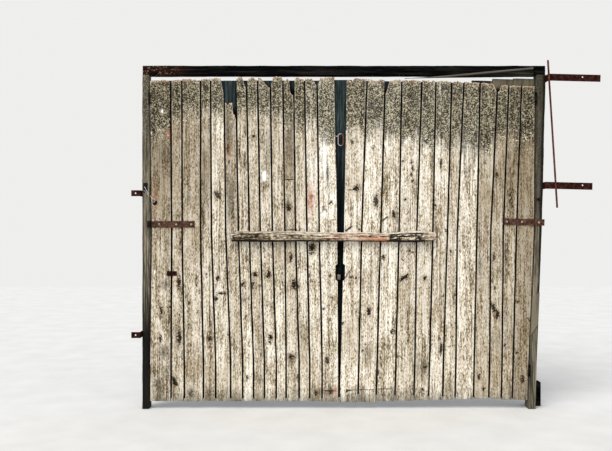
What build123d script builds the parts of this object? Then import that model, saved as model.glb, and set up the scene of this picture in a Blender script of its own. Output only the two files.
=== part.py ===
from build123d import *
import math
import os
from types import SimpleNamespace

# Two-leaf plank barn door in its timber frame, in millimetres.
# X runs to the right across the doorway, Y from front to back, Z up.
# While it is built, X = 0 is the left hinge edge and Y = 0 the front face of the boards;
# the finished pieces are then moved so that the origin is the middle of the left post's foot.
# A leaf is measured from its hinge edge: s runs from there to the free edge, z up from the foot.

FRAME_HEIGHT = 2842.0          # from the ground to the underside of the head beam

# Heights at which the boards' widths are given. Below the first and above the last they keep.
HIGH_DROP = 292.0              # from the head beam to the high level
LOW, MIDDLE, HIGH = 400.0, 1500.0, FRAME_HEIGHT - HIGH_DROP
LEVELS = (LOW, MIDDLE, HIGH)

# Board widths from the post to the free edge, each at the low, middle and high level
LEFT_WIDTHS = [
    (179, 170, 177), (113, 89, 94), (162, 156, 159), (104, 92, 87), (128, 122, 115),
    (102, 108, 102), (92, 92, 91), (93, 95, 94), (101, 101, 108), (83, 107, 106),
    (111, 90, 92), (90, 97, 93), (106, 105, 106), (138, 157, 150),
]
RIGHT_WIDTHS = [
    (131, 150, 119), (94, 112, 109), (106, 106, 97), (131, 118, 144), (156, 168, 143),
    (106, 82, 100), (118, 124, 133), (125, 138, 122), (162, 150, 168), (159, 156, 143),
    (155, 162, 156), (157, 153, 172),
]
BOARD_GAP = 8.0                # crack between two neighbouring boards
WIDE_GAP = 15.0                # crack between the left leaf's first two boards
BOARD_T = 25.0                 # outer boards, before the weather thinned them
BOARD_SETBACKS = (0.0, 1.5, 0.5, 2.5, 1.0, 2.0)   # how far a board's face lies back, in turn

# How far the hinge edge bows towards the free edge at the middle level
LEFT_BOW = 15.0
RIGHT_BOW = -20.0

# Tops: a level line for each leaf, and each board's profile below it
# as (share of the board's width from the hinge side, drop below the line)
LEFT_HEAD_GAP, RIGHT_HEAD_GAP = 12.0, 62.0     # from the head beam to the leaves' lines
LEFT_TOP = FRAME_HEIGHT - LEFT_HEAD_GAP
RIGHT_TOP = FRAME_HEIGHT - RIGHT_HEAD_GAP
LEFT_TOPS = [
    [(0, 34), (0.35, 38), (0.62, 25), (0.92, 33), (1, 50)],
    [(0, 36), (0.35, 25), (1, 25)],
    [(0, 21), (0.72, 21), (0.86, 50), (1, 29)],
    [(0, 19), (1, 17)],
    [(0, 16), (0.62, 12), (0.74, 20), (0.82, 60), (1, 165)],
    [(0, 215), (0.26, 245), (0.42, 222), (0.68, 220), (0.72, 310), (0.88, 322), (1, 365)],
    [(0, 22), (0.2, 5), (0.55, 5), (0.68, 30), (0.8, 80), (1, 85)],
    [(0, 35), (0.15, 10), (0.6, 2), (0.76, 24), (1, 30)],
    [(0, 12), (0.1, 6), (0.85, 92), (1, 98)],
    [(0, 70), (0.12, 5), (0.2, 0), (0.85, 0), (1, 20)],
    [(0, 24), (0.3, 20), (0.55, 30), (0.66, 140), (1, 160)],
    [(0, 40), (0.08, 15), (0.35, 3), (0.6, 20), (1, 28)],
    [(0, 18), (0.6, 16), (0.75, 45), (0.9, 70), (1, 72)],
    [(0, 65), (0.06, 35), (0.14, 8), (0.95, 4), (1, 14)],
]
RIGHT_TOPS = [
    [(0, 33), (0.05, 29), (1, 31)],
    [(0, 30), (0.9, 31), (1, 35)],
    [(0, 30), (0.65, 27), (0.75, 60), (0.85, 82), (1, 85)],
    [(0, 78), (0.12, 40), (0.25, 18), (0.7, 12), (1, 14)],
    [(0, 12), (1, 8)],
    [(0, 22), (0.15, 14), (0.5, 2), (0.8, 6), (1, 16)],
    [(0, 8), (0.3, 4), (0.7, 8), (1, 6)],
    [(0, 6), (0.25, 4), (0.3, 22), (0.38, 22), (0.42, 2), (1, 3)],
    [(0, 8), (0.3, 2), (1, 4)],
    [(0, 12), (0.12, 0), (0.4, 8), (0.74, 12), (1, 148)],
    [(0, 8), (0.3, 4), (0.42, 26), (0.75, 10), (1, 3)],
    [(0, 2), (0.6, 0), (0.75, 22), (0.82, 20), (0.95, 14), (1, 30)],
]
# Heights of the boards' lower ends
LEFT_BOTTOMS = (66, 68, 64, 69, 66, 65, 68, 66, 70, 65, 67, 69, 66, 64)
RIGHT_BOTTOMS = (76, 75, 80, 78, 71, 65, 58, 51, 44, 36, 26, 20)

# The leaves and the doorway
RIGHT_LEAN = 1.4               # degrees by which the right post and leaf lean outwards
MEETING_GAP = 8.0              # between the leaves at their lower ends
HINGE_GAP = 8.0                # between a leaf and its post
LOCK_NOTCH_DEPTH = 17.0        # cut into both meeting edges round the padlock
LOCK_NOTCH_LOW, LOCK_NOTCH_HIGH = 1091.0, 1232.0

# Inner boards, ledges, braces and the strip that covers the meeting gap
LINING_COUNT = 9
LEFT_LINING_T = 18.0
RIGHT_LINING_T = 22.0
LINING_GAP = 2.0
LINING_INSET = 6.0             # from the leaf's own edge
LINING_FOOT = 85.0
LEFT_LINING_DROP = 45.0         # from the head beam to the inner boards
RIGHT_LINING_DROPS = (30, 38, 56, 78, 78, 78, 80, 80, 82)
LEDGE_T = 35.0
LEDGE_WIDTH = 120.0
LEDGE_INSET = 30.0
STRAP_HEIGHT = 1570.0          # middle ledge and strap hinge
RIGHT_STRAP_HEIGHT = 1588.0
TOP_LEDGE_DROP = 512.0         # from the head beam to the middle of the top ledges
TOP_LEDGE_HEIGHT = FRAME_HEIGHT - TOP_LEDGE_DROP
LEFT_LEDGE_HEIGHTS = (475.0, STRAP_HEIGHT, TOP_LEDGE_HEIGHT)
RIGHT_LEDGE_HEIGHTS = (480.0, RIGHT_STRAP_HEIGHT, TOP_LEDGE_HEIGHT)
BRACE_WIDTH = 110.0
BRACE_FIT = 1.0                # between a brace's end and its ledge
STRIP_LEFT, STRIP_RIGHT = -88.0, 112.0   # cover strip, from the middle of the meeting gap
STRIP_FOOT, STRIP_T = 92.0, 18.0
STRIP_TOP = FRAME_HEIGHT - 36.0
STRIP_CLEARANCE = 22.0         # between the strip and the ledges beside it

# Nails and bolts
NAIL = 4.0                     # square shank
NAIL_HEAD, NAIL_HEAD_T = 11.0, 2.5
NAIL_FIT = 0.2                 # round a shank, on each side
NAIL_STEP = 38.0               # above or below a ledge's middle line
NAIL_CLENCH = 14.0             # length of the tip that is hammered over
NAIL_SHARES = (0.26, 0.74)     # of a wide board's width, for its two nails
WIDE_BOARD = 112.0             # boards at least this wide take two nails at a ledge
BOLT_R, BOLT_HEAD_R, BOLT_HEAD_T = 5.0, 9.0, 5.0
BOLT_FIT = 0.3
NUT_R, NUT_T = 10.0, 8.0
SEAT = 0.3                     # between an iron and the wood that it lies on

# Posts, head beam and the wood round them
POST_WIDTH, POST_DEPTH = 60.0, 120.0
RIGHT_POST_HEAD_WIDTH = 80.0
BEAM_HEIGHT, BEAM_FRONT = 83.0, 20.0
SCARF_LOW, SCARF_HIGH = 952.0, 995.0     # slanting joint between the right post's two pieces
SAW_CUT_LOW, SAW_CUT_HIGH = 608.0, 717.0
SAW_CUT_WIDTH, SAW_CUT_DEPTH = 9.0, 12.0
SLAT_T = 24.0                  # wedge-shaped board on the head beam
SLAT_LEFT, SLAT_KNEE, SLAT_RIGHT = 560.0, 770.0, 1655.0   # from the middle of the meeting gap
SLAT_LEFT_DROP, SLAT_RIGHT_DROP = 30.0, 16.0   # its lower corners, below the head beam
SLAT_KNEE_DROP = 18.0
SLAT_END_HEIGHT = 81.0
PACKING_BOARD_T, PACKING_BOARD_WIDTH, PACKING_BOARD_TOP = 22.0, 68.0, 690.0
PACKING_BLOCK_WIDTH, PACKING_BLOCK_HEIGHT, PACKING_BLOCK_DEPTH = 112.0, 204.0, 90.0
PACKING_OVERLAP = 34.0         # of the packing board behind the post

# Flat irons that tie the frame to the wall
TIE_T, TIE_SETBACK, TIE_RETURN = 6.0, 60.0, 80.0
TIE_HOLE_R = 7.0
TIE_SCREW_LENGTH = 45.0
RIGHT_TIE_HEIGHT, LEFT_TIE_HEIGHT = 58.0, 50.0
RIGHT_TIE_LEVELS = (FRAME_HEIGHT - 32.0, 1899.0)   # middle of each right tie
RIGHT_TIE_REACHES = (2201.0, 2133.0)     # from the middle of the meeting gap
RIGHT_TIE_HOLE_X = 2050.0
LEFT_TIE_LEVELS = (1832.0, 637.0)
LEFT_TIE_REACH, LEFT_TIE_HOLE_X = 1751.0, 1715.0
ROD_R = 8.0                    # rusty rod in front of the right ties
ROD_RISE = 108.0               # from the head beam up to the rod's top
ROD_TOP, ROD_FOOT = (1755.0, FRAME_HEIGHT + ROD_RISE), (1833.0, 1709.0)

# Strap hinges on the front, butt hinges in the gap beside the post
STRAP_T, STRAP_WIDTH, STRAP_LENGTH = 5.0, 55.0, 380.0
RIGHT_STRAP_LENGTH = 240.0
LEFT_JAMB_PLATE, RIGHT_JAMB_PLATE = 22.0, 104.0
LEFT_BOLTS = (80.0, 226.0, 352.0)        # from the hinge edge
RIGHT_BOLTS = (88.0, 218.0)
JAMB_BOLT = 56.0
PIN_R, PIN_FIT = 6.0, 0.05
STRAP_EYE_R, BUTT_EYE_R = 11.0, 9.0
EYE_GAP = 0.6                  # between two knuckles, along the pin
EYE_CLEARANCE = 2.0            # between a knuckle and the plate beside it
EYE_SHARE = 0.44               # of the hinge's height that the leaf's own knuckle takes
HINGE_Y = -SEAT - STRAP_EYE_R  # line of all the hinge pins
BUTT_T, BUTT_HEIGHT, BUTT_DEPTH = 3.0, 100.0, 42.0
BUTT_FIT = 0.2                 # between a butt plate and the wood that it is screwed to
BUTT_SETBACK = 2.0             # from the boards' front to the plate
BUTT_LEVELS = (280.0, FRAME_HEIGHT - 252.0)

# Bar across both leaves: stations along it as (distance from the middle of the meeting gap,
# middle height, height of the section, depth of the section)
BAR_STATIONS = [
    (-916, 1463, 88, 58), (-840, 1468, 94, 66), (-640, 1466, 100, 70), (-320, 1466, 92, 66),
    (-170, 1462, 84, 62), (60, 1463, 84, 60), (220, 1465, 90, 64), (400, 1459, 80, 58),
    (520, 1462, 92, 66), (660, 1465, 102, 70), (780, 1467, 88, 60), (822, 1468, 66, 44),
]
BAR_CORNER = 0.3               # share of the section that its corners take off
BAR_EASE = 3.0                 # relief behind the bar where it laps the right leaf
BAR_HALF_ROOM = 120.0          # half the height of the relief, more than the bar's own
SPIKE, SPIKE_HEAD, SPIKE_HEAD_T = 7.0, 15.0, 4.0
BAR_SPIKES = (-812.0, -306.0)  # from the middle of the meeting gap

# Small irons at the meeting edges
WIRE_R = 3.0
LOCK_LEVEL = 1178.0            # middle of the staple that carries the padlock
STAPLE_HALF, STAPLE_REACH, STAPLE_BITE = 12.0, 38.0, 30.0
SHACKLE_R, SHACKLE_BEND, SHACKLE_LEG = 3.5, 11.0, 18.0
SHACKLE_BITE = 10.0
SHACKLE_MARGIN = 6.0           # between the shackle and the staple's bow
LOCK_WIDTH, LOCK_DEPTH, LOCK_HEIGHT, LOCK_ROUND = 26.0, 48.0, 46.0, 6.0
RING_DROP = 551.0              # from the head beam to the middle of the wire ring
RING_LEVEL = FRAME_HEIGHT - RING_DROP
RING_HEIGHT, RING_WIDTH, RING_WIRE_R = 108.0, 50.0, 3.5
RING_OFFSET = 18.0             # from the leaf's edge to the ring
STEM_BITE = 30.0
PATCH_S, PATCH_LEVEL = 186.0, 1152.0     # flat iron over the left leaf's first crack
PATCH_LENGTH, PATCH_WIDTH, PATCH_T = 86.0, 40.0, 3.0
POST_PLATE_RISE = 311.0        # from the strap hinge to the plate on the left post
POST_PLATE_LEVEL = STRAP_HEIGHT + POST_PLATE_RISE
POST_PLATE_WIDTH, POST_PLATE_HEIGHT, POST_PLATE_T = 36.0, 82.0, 4.0
KEEPER_X, KEEPER_LOW, KEEPER_HIGH, KEEPER_R = 835.0, 1377.0, 1538.0, 4.0
BENT_NAIL_FOOT, BENT_NAIL_TIP = (47.0, 1109.0), (95.0, 1181.0)
BENT_NAIL_BITE = 18.0


def at_level(values, z):
    """Value at a height, straight between the three levels and constant beyond them."""
    if z <= LOW:
        return values[0]
    if z >= HIGH:
        return values[2]
    lower = 0 if z < MIDDLE else 1
    share = (z - LEVELS[lower]) / (LEVELS[lower + 1] - LEVELS[lower])
    return values[lower] + share * (values[lower + 1] - values[lower])


def crack_lines(widths, bow):
    """Middle line of each crack, and the two edges, as values at the three levels."""
    lines = [(0.0, bow, 0.0)]
    for width in widths:
        lines.append(tuple(line + step for line, step in zip(lines[-1], width)))
    return lines


LEFT_LINES = crack_lines(LEFT_WIDTHS, LEFT_BOW)
RIGHT_LINES = crack_lines(RIGHT_WIDTHS, RIGHT_BOW)
MEETING_X = LEFT_LINES[-1][0] + MEETING_GAP / 2            # middle of the meeting gap at the foot
RIGHT_HINGE_X = MEETING_X + MEETING_GAP / 2 + RIGHT_LINES[-1][0]
LEAN = math.radians(RIGHT_LEAN)
LEFT_PLACE = Location((0, 0, 0))
RIGHT_PLACE = Location((RIGHT_HINGE_X, 0, 0)) * Rotation(0, RIGHT_LEAN, 0)
ORIGIN = Location((HINGE_GAP + POST_WIDTH / 2, -POST_DEPTH / 2, 0))

LEFT = SimpleNamespace(
    side=1, name="left", place=LEFT_PLACE, lines=LEFT_LINES, tops=LEFT_TOPS, top=LEFT_TOP,
    bottoms=LEFT_BOTTOMS, lining_t=LEFT_LINING_T, lining_drops=(LEFT_LINING_DROP,) * LINING_COUNT,
    ledges=LEFT_LEDGE_HEIGHTS, notch_lift=0.0, strap=STRAP_LENGTH, jamb_plate=LEFT_JAMB_PLATE,
    strap_level=STRAP_HEIGHT, bolts=LEFT_BOLTS)
RIGHT = SimpleNamespace(
    side=-1, name="right", place=RIGHT_PLACE, lines=RIGHT_LINES, tops=RIGHT_TOPS, top=RIGHT_TOP,
    bottoms=RIGHT_BOTTOMS, lining_t=RIGHT_LINING_T, lining_drops=RIGHT_LINING_DROPS,
    ledges=RIGHT_LEDGE_HEIGHTS, notch_lift=RIGHT_LINES[-1][0] * math.sin(LEAN),
    strap=RIGHT_STRAP_LENGTH, jamb_plate=RIGHT_JAMB_PLATE, strap_level=RIGHT_STRAP_HEIGHT,
    bolts=RIGHT_BOLTS)


def box(x0, x1, y0, y1, z0, z1):
    """Box between two corners."""
    return Pos((x0 + x1) / 2, (y0 + y1) / 2, (z0 + z1) / 2) * Box(abs(x1 - x0), y1 - y0, z1 - z0)


def slab(outline, front, thickness):
    """Solid with an outline in X and Z, from Y = front to front + thickness."""
    wire = Wire.make_polygon([(x, front, z) for x, z in outline])
    return Solid.extrude(Face(wire), Vector(0, thickness, 0))


def rod(start, end, radius):
    """Round bar between two points."""
    axis = Vector(*end) - Vector(*start)
    return Solid.make_cylinder(radius, axis.length, Plane(Vector(*start), z_dir=axis))


def cut_all(solid, tools):
    """Solid less every tool that meets its bounding box."""
    room = solid.bounding_box()
    near = []
    for tool in tools:
        reach = tool.bounding_box()
        apart_x = reach.min.X > room.max.X or reach.max.X < room.min.X
        apart_z = reach.min.Z > room.max.Z or reach.max.Z < room.min.Z
        if not (apart_x or apart_z):
            near.append(tool)
    return solid.cut(*near) if near else solid


def upright(leaf, edge_a, edge_b, foot, line, profile, front, thickness):
    """Upright board between two edge lines, with a profiled top."""
    def corner(edge, z):
        return leaf.side * at_level(edge, z), z

    end_a, end_b = line - profile[0][1], line - profile[-1][1]
    points = [corner(edge_a, foot), corner(edge_b, foot)]
    points += [corner(edge_b, level) for level in LEVELS if foot < level < end_b]
    for share, drop in reversed(profile):
        z = line - drop
        s = at_level(edge_a, z) * (1 - share) + at_level(edge_b, z) * share
        points.append((leaf.side * s, z))
    points += [corner(edge_a, level) for level in reversed(LEVELS) if foot < level < end_a]
    kept = [points[0]]
    for point in points[1:]:
        if math.dist(point, kept[-1]) > 0.5:
            kept.append(point)
    return slab(kept, front, thickness)


def board_edges(leaf, index):
    """Two edges of an outer board, half a crack inside the crack lines."""
    gap_a = WIDE_GAP if leaf is LEFT and index == 1 else BOARD_GAP
    gap_b = WIDE_GAP if leaf is LEFT and index == 0 else BOARD_GAP
    last = len(leaf.lines) - 2
    inset_a = 0.0 if index == 0 else gap_a / 2
    inset_b = 0.0 if index == last else gap_b / 2
    edge_a = tuple(value + inset_a for value in leaf.lines[index])
    edge_b = tuple(value - inset_b for value in leaf.lines[index + 1])
    return edge_a, edge_b


def board_front(index):
    """How far a board's face lies behind the leaf's front plane."""
    return BOARD_SETBACKS[index % len(BOARD_SETBACKS)]


def leaf_depth(leaf):
    """From the leaf's front plane to the back of its ledges."""
    return BOARD_T + leaf.lining_t + LEDGE_T


def nail_places(leaf):
    """Nails of the boards at the ledges, as (s, z, board index)."""
    places = []
    for index in range(len(leaf.lines) - 1):
        edge_a, edge_b = board_edges(leaf, index)
        for row, level in enumerate(leaf.ledges):
            a, b = at_level(edge_a, level), at_level(edge_b, level)
            sign = 1 if (index + row) % 2 else -1
            if b - a >= WIDE_BOARD:
                near, far = (a + share * (b - a) for share in NAIL_SHARES)
                places.append((near, level + sign * NAIL_STEP, index))
                places.append((far, level - sign * NAIL_STEP, index))
            else:
                places.append(((a + b) / 2, level + sign * NAIL_STEP, index))
    return places


def nail(leaf, s, z, index):
    """Forged nail: its tip is hammered over on a ledge, or ends inside the inner board."""
    x = leaf.side * s
    half, head, front = NAIL / 2, NAIL_HEAD / 2, board_front(index)
    cap = box(x - head, x + head, front - NAIL_HEAD_T, front, z - head, z + head)
    if s > strip_side(leaf, z) - NAIL:
        end = BOARD_T + leaf.lining_t - NAIL
        return cap + box(x - half, x + half, front, end, z - half, z + half)
    back = leaf_depth(leaf)
    shank = box(x - half, x + half, front, back + NAIL, z - half, z + half)
    tip = box(x - half, x + half, back, back + NAIL, z - NAIL_CLENCH, z + half)
    return cap + shank + tip


def shank_hole(leaf, s, z, half):
    """Square hole through the whole leaf."""
    x = leaf.side * s
    return box(x - half, x + half, -BOARD_T, 2 * leaf_depth(leaf), z - half, z + half)


def bolt(leaf, s, z):
    """Strap bolt: round head on the strap, shank through the leaf, nut on the ledge."""
    x = leaf.side * s
    face, back = -SEAT - STRAP_T, leaf_depth(leaf)
    head = rod((x, face - BOLT_HEAD_T, z), (x, face, z), BOLT_HEAD_R)
    shank = rod((x, face, z), (x, back + NUT_T, z), BOLT_R)
    nut = Plane((x, back, z), z_dir=(0, 1, 0)) * extrude(RegularPolygon(NUT_R, 6), NUT_T)
    return head + shank + nut


def bolt_hole(leaf, s, z, radius):
    """Round hole through strap and leaf."""
    x = leaf.side * s
    return rod((x, -BOARD_T, z), (x, 2 * leaf_depth(leaf), z), radius)


def spike_places():
    """Spikes that hold the bar to the left leaf, as (s, z)."""
    level = BAR_STATIONS[2][1]
    return [(MEETING_X + offset, level) for offset in BAR_SPIKES]


def leaf_holes(leaf):
    """Every hole that runs right through the leaf."""
    half = NAIL / 2 + NAIL_FIT
    holes = [shank_hole(leaf, s, z, half) for s, z, index in nail_places(leaf)]
    holes += [bolt_hole(leaf, s, leaf.strap_level, BOLT_R + BOLT_FIT) for s in leaf.bolts]
    if leaf is LEFT:
        holes += [shank_hole(leaf, s, z, SPIKE / 2 + NAIL_FIT) for s, z in spike_places()]
    return holes


def lock_notch(leaf):
    """Cut in the free edge that makes room for the padlock."""
    low, high = LOCK_NOTCH_LOW - leaf.notch_lift, LOCK_NOTCH_HIGH - leaf.notch_lift
    edge = at_level(leaf.lines[-1], (low + high) / 2)
    sides = sorted((leaf.side * (edge - LOCK_NOTCH_DEPTH), leaf.side * (edge + LOCK_NOTCH_DEPTH)))
    return box(sides[0], sides[1], -BOARD_T, leaf_depth(leaf), low, high)


def edge_holes():
    """Holes in the left leaf's free edge for the staple's legs and the ring's stem."""
    lock_edge = at_level(LEFT_LINES[-1], LOCK_LEVEL) - LOCK_NOTCH_DEPTH
    y = BOARD_T / 2
    holes = []
    for side in (-1, 1):
        z = LOCK_LEVEL + side * STAPLE_HALF
        holes.append(rod((lock_edge - STAPLE_BITE - 1, y, z), (lock_edge + 1, y, z), WIRE_R + SEAT))
    ring_edge = at_level(LEFT_LINES[-1], ring_stem_level())
    start = (ring_edge - STEM_BITE - 1, y, ring_stem_level())
    holes.append(rod(start, (ring_edge + 1, y, ring_stem_level()), RING_WIRE_R + SEAT))
    return holes


def ring_stem_level():
    """Height of the stem that holds the wire ring, at the ring's straight side."""
    return RING_LEVEL + RING_HEIGHT / 2 - RING_WIDTH / 2


def outer_board(leaf, index, holes):
    """One outer board with its broken or weathered top."""
    edge_a, edge_b = board_edges(leaf, index)
    front = board_front(index)
    board = upright(leaf, edge_a, edge_b, leaf.bottoms[index], leaf.top, leaf.tops[index],
                    front, BOARD_T - front)
    if index == len(leaf.lines) - 2:
        board = board.cut(lock_notch(leaf))
        if leaf is LEFT:
            board = cut_all(board, edge_holes())
    return cut_all(board, holes)


def lining_boards(leaf, holes):
    """Inner boards behind the outer ones, dividing the leaf's width evenly."""
    first = tuple(value + LINING_INSET for value in leaf.lines[0])
    last = tuple(value - LINING_INSET for value in leaf.lines[-1])
    boards = []
    for index in range(LINING_COUNT):
        edges = []
        for step, inset in ((index, LINING_GAP / 2), (index + 1, -LINING_GAP / 2)):
            share = step / LINING_COUNT
            edges.append(tuple(a + share * (b - a) + inset for a, b in zip(first, last)))
        top = FRAME_HEIGHT - leaf.lining_drops[index]
        board = upright(leaf, edges[0], edges[1], LINING_FOOT, top, [(0, 0), (1, 0)], BOARD_T,
                        leaf.lining_t)
        boards.append(cut_all(board, [*holes, lock_notch(leaf)]))
    return boards


def strip_side(leaf, z):
    """Where the ledges end, clear of the cover strip, at a height."""
    if leaf is LEFT:
        return MEETING_X + STRIP_LEFT - STRIP_CLEARANCE
    hinge_x = RIGHT_HINGE_X + z * math.sin(LEAN)
    return (hinge_x - MEETING_X - STRIP_RIGHT - STRIP_CLEARANCE) / math.cos(LEAN)


def ledges_and_braces(leaf, holes):
    """Three level ledges and the two braces between them, on the back of the leaf."""
    front = BOARD_T + leaf.lining_t
    pieces = []
    half = LEDGE_WIDTH / 2
    starts = LEDGE_INSET + max(leaf.lines[0])
    for level in leaf.ledges:
        end = strip_side(leaf, level - half)
        sides = sorted((leaf.side * starts, leaf.side * end))
        ledge = box(sides[0], sides[1], front, front + LEDGE_T, level - half, level + half)
        pieces.append(cut_all(ledge, holes))
    for lower, upper in zip(leaf.ledges, leaf.ledges[1:]):
        low, high = lower + half + BRACE_FIT, upper - half - BRACE_FIT
        near, far = starts, strip_side(leaf, low) - BRACE_WIDTH
        outline = [(near, low), (near + BRACE_WIDTH, low), (far + BRACE_WIDTH, high), (far, high)]
        pieces.append(slab([(leaf.side * s, z) for s, z in outline], front, LEDGE_T))
    return pieces


def knuckle(leaf, radius, z0, z1):
    """Round knuckle on the hinge line."""
    x = -leaf.side * HINGE_GAP / 2
    return rod((x, HINGE_Y, z0), (x, HINGE_Y, z1), radius)


def hinge_heights(low, height):
    """Ends of the leaf's own knuckle, between the two on the post."""
    own = EYE_SHARE * height
    return low + (height - own) / 2, low + (height + own) / 2


def leaf_strap(leaf):
    """Strap on the leaf's front, rolled into an eye on the hinge line."""
    low = leaf.strap_level - STRAP_WIDTH / 2
    eye_low, eye_high = hinge_heights(low, STRAP_WIDTH)
    front, back = -SEAT - STRAP_T, -SEAT
    start = STRAP_EYE_R + EYE_CLEARANCE - HINGE_GAP / 2
    side = leaf.side
    plate = box(*sorted((side * start, side * leaf.strap)), front, back, low, low + STRAP_WIDTH)
    web = box(*sorted((-side * HINGE_GAP / 2, side * start)), front, back, eye_low, eye_high)
    eye = knuckle(leaf, STRAP_EYE_R, eye_low, eye_high)
    strap = (plate + web + eye) - knuckle(leaf, PIN_R + PIN_FIT, low, low + STRAP_WIDTH)
    holes = [bolt_hole(leaf, s, leaf.strap_level, BOLT_R + BOLT_FIT) for s in leaf.bolts]
    return cut_all(strap, holes)


def jamb_strap(leaf):
    """Plate on the post with two knuckles and the riveted pin between them."""
    low = leaf.strap_level - STRAP_WIDTH / 2
    high = low + STRAP_WIDTH
    eye_low, eye_high = hinge_heights(low, STRAP_WIDTH)
    front, back = -SEAT - STRAP_T, -SEAT
    start = HINGE_GAP / 2 + STRAP_EYE_R + EYE_CLEARANCE
    side = leaf.side
    plate = box(*sorted((-side * start, -side * leaf.jamb_plate)), front, back, low, high)
    hinge = plate + knuckle(leaf, PIN_R, low, high)
    for z0, z1 in ((low, eye_low - EYE_GAP), (eye_high + EYE_GAP, high)):
        web = box(*sorted((-side * HINGE_GAP / 2, -side * start)), front, back, z0, z1)
        hinge = hinge + web + knuckle(leaf, STRAP_EYE_R, z0, z1)
    if leaf is RIGHT:
        hole = rod((JAMB_BOLT, -BOARD_T, leaf.strap_level), (JAMB_BOLT, BOARD_T, leaf.strap_level),
                   BOLT_R + BOLT_FIT)
        hinge = hinge.cut(hole)
    return hinge


def butt_plate(leaf, low, on_leaf):
    """One half of a butt hinge: its plate in the gap, and its knuckles in front."""
    high = low + BUTT_HEIGHT
    eye_low, eye_high = hinge_heights(low, BUTT_HEIGHT)
    side = leaf.side
    inner = -BUTT_FIT if on_leaf else -HINGE_GAP + BUTT_T + BUTT_FIT
    sides = sorted((side * inner, side * (inner - BUTT_T)))
    plate = box(*sides, BUTT_SETBACK, BUTT_DEPTH, low, high)
    if on_leaf:
        web = box(*sides, HINGE_Y, BUTT_SETBACK, eye_low, eye_high)
        eye = knuckle(leaf, BUTT_EYE_R, eye_low, eye_high)
        return (plate + web + eye) - knuckle(leaf, PIN_R + PIN_FIT, low, high)
    hinge = plate + knuckle(leaf, PIN_R, low, high)
    for z0, z1 in ((low, eye_low - EYE_GAP), (eye_high + EYE_GAP, high)):
        web = box(*sides, HINGE_Y, BUTT_SETBACK, z0, z1)
        hinge = hinge + web + knuckle(leaf, BUTT_EYE_R, z0, z1)
    return hinge


def cover_strip():
    """Upright board on the right leaf's back that covers the meeting gap."""
    front = BOARD_T + RIGHT_LINING_T
    return box(MEETING_X + STRIP_LEFT, MEETING_X + STRIP_RIGHT, front, front + STRIP_T,
               STRIP_FOOT, STRIP_TOP)


def in_right_leaf(x, z):
    """Place in the leaning leaf's own X and Z of a point measured in the plumb frame."""
    dx = x - RIGHT_HINGE_X
    return (dx * math.cos(LEAN) - z * math.sin(LEAN), dx * math.sin(LEAN) + z * math.cos(LEAN))


def from_right_leaf(x, z):
    """Place in the plumb frame of a point in the leaning leaf's own X and Z."""
    return (RIGHT_HINGE_X + x * math.cos(LEAN) + z * math.sin(LEAN),
            z * math.cos(LEAN) - x * math.sin(LEAN))


def left_post():
    """Plumb post; its inner face follows the leaf's bowed edge."""
    hinge_edge = LEFT_LINES[0]
    inner = [(at_level(hinge_edge, z) - HINGE_GAP, z) for z in (0.0, *LEVELS, FRAME_HEIGHT)]
    outer = -HINGE_GAP - POST_WIDTH
    return slab([(outer, 0.0), *inner, (outer, FRAME_HEIGHT)], 0.0, POST_DEPTH)


def right_post_side(z, outer):
    """Point on the right post's inner or outer face at a height of the leaning frame."""
    inner_x = HINGE_GAP - at_level(RIGHT_LINES[0], z)
    width = at_level((POST_WIDTH, POST_WIDTH, RIGHT_POST_HEAD_WIDTH), z)
    return from_right_leaf(inner_x + (width if outer else 0.0), z)


def right_post_pieces():
    """Leaning post in two pieces that meet on a slanting scarf."""
    foot_in, foot_out = right_post_side(0.0, False), right_post_side(0.0, True)
    low_in, low_out = right_post_side(LOW, False), right_post_side(LOW, True)
    scarf_in, scarf_out = right_post_side(SCARF_LOW, False), right_post_side(SCARF_HIGH, True)
    foot = [(foot_in[0], 0.0), (foot_out[0], 0.0), low_out, scarf_out, scarf_in, low_in]
    head_in, head_out = right_post_side(FRAME_HEIGHT, False), right_post_side(FRAME_HEIGHT, True)
    middle_in, middle_out = right_post_side(MIDDLE, False), right_post_side(MIDDLE, True)
    high_in, high_out = right_post_side(HIGH, False), right_post_side(HIGH, True)
    head = [scarf_in, scarf_out, middle_out, high_out, (head_out[0], FRAME_HEIGHT),
            (head_in[0], FRAME_HEIGHT), high_in, middle_in]
    cut_in, cut_out = right_post_side(SAW_CUT_LOW, False), right_post_side(SAW_CUT_HIGH, True)
    slot = slab([cut_in, cut_out, (cut_out[0], cut_out[1] + SAW_CUT_WIDTH),
                 (cut_in[0], cut_in[1] + SAW_CUT_WIDTH)], -1.0, SAW_CUT_DEPTH + 1.0)
    return slab(head, 0.0, POST_DEPTH), slab(foot, 0.0, POST_DEPTH).cut(slot)


def head_beam():
    """Beam across both posts, set back from their front."""
    right = right_post_side(FRAME_HEIGHT, True)[0]
    return box(-HINGE_GAP - POST_WIDTH, right, BEAM_FRONT, POST_DEPTH, FRAME_HEIGHT,
               FRAME_HEIGHT + BEAM_HEIGHT)


def head_slat():
    """Wedge-shaped board nailed to the front of the head beam, over the right leaf."""
    outline = [(SLAT_LEFT, -SLAT_LEFT_DROP), (SLAT_RIGHT, -SLAT_RIGHT_DROP),
               (SLAT_RIGHT, SLAT_END_HEIGHT - SLAT_RIGHT_DROP), (SLAT_KNEE, -SLAT_KNEE_DROP)]
    return slab([(MEETING_X + x, FRAME_HEIGHT + z) for x, z in outline],
                BEAM_FRONT - SLAT_T, SLAT_T)


def right_packing():
    """Block on the ground beside the right post's foot, and the board standing on it."""
    left = right_post_side(0.0, True)[0] - PACKING_OVERLAP
    block = box(left, left + PACKING_BLOCK_WIDTH, POST_DEPTH, POST_DEPTH + PACKING_BLOCK_DEPTH,
                0.0, PACKING_BLOCK_HEIGHT)
    board = box(left, left + PACKING_BOARD_WIDTH, POST_DEPTH, POST_DEPTH + PACKING_BOARD_T,
                PACKING_BLOCK_HEIGHT, PACKING_BOARD_TOP)
    return [block, board]


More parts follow.
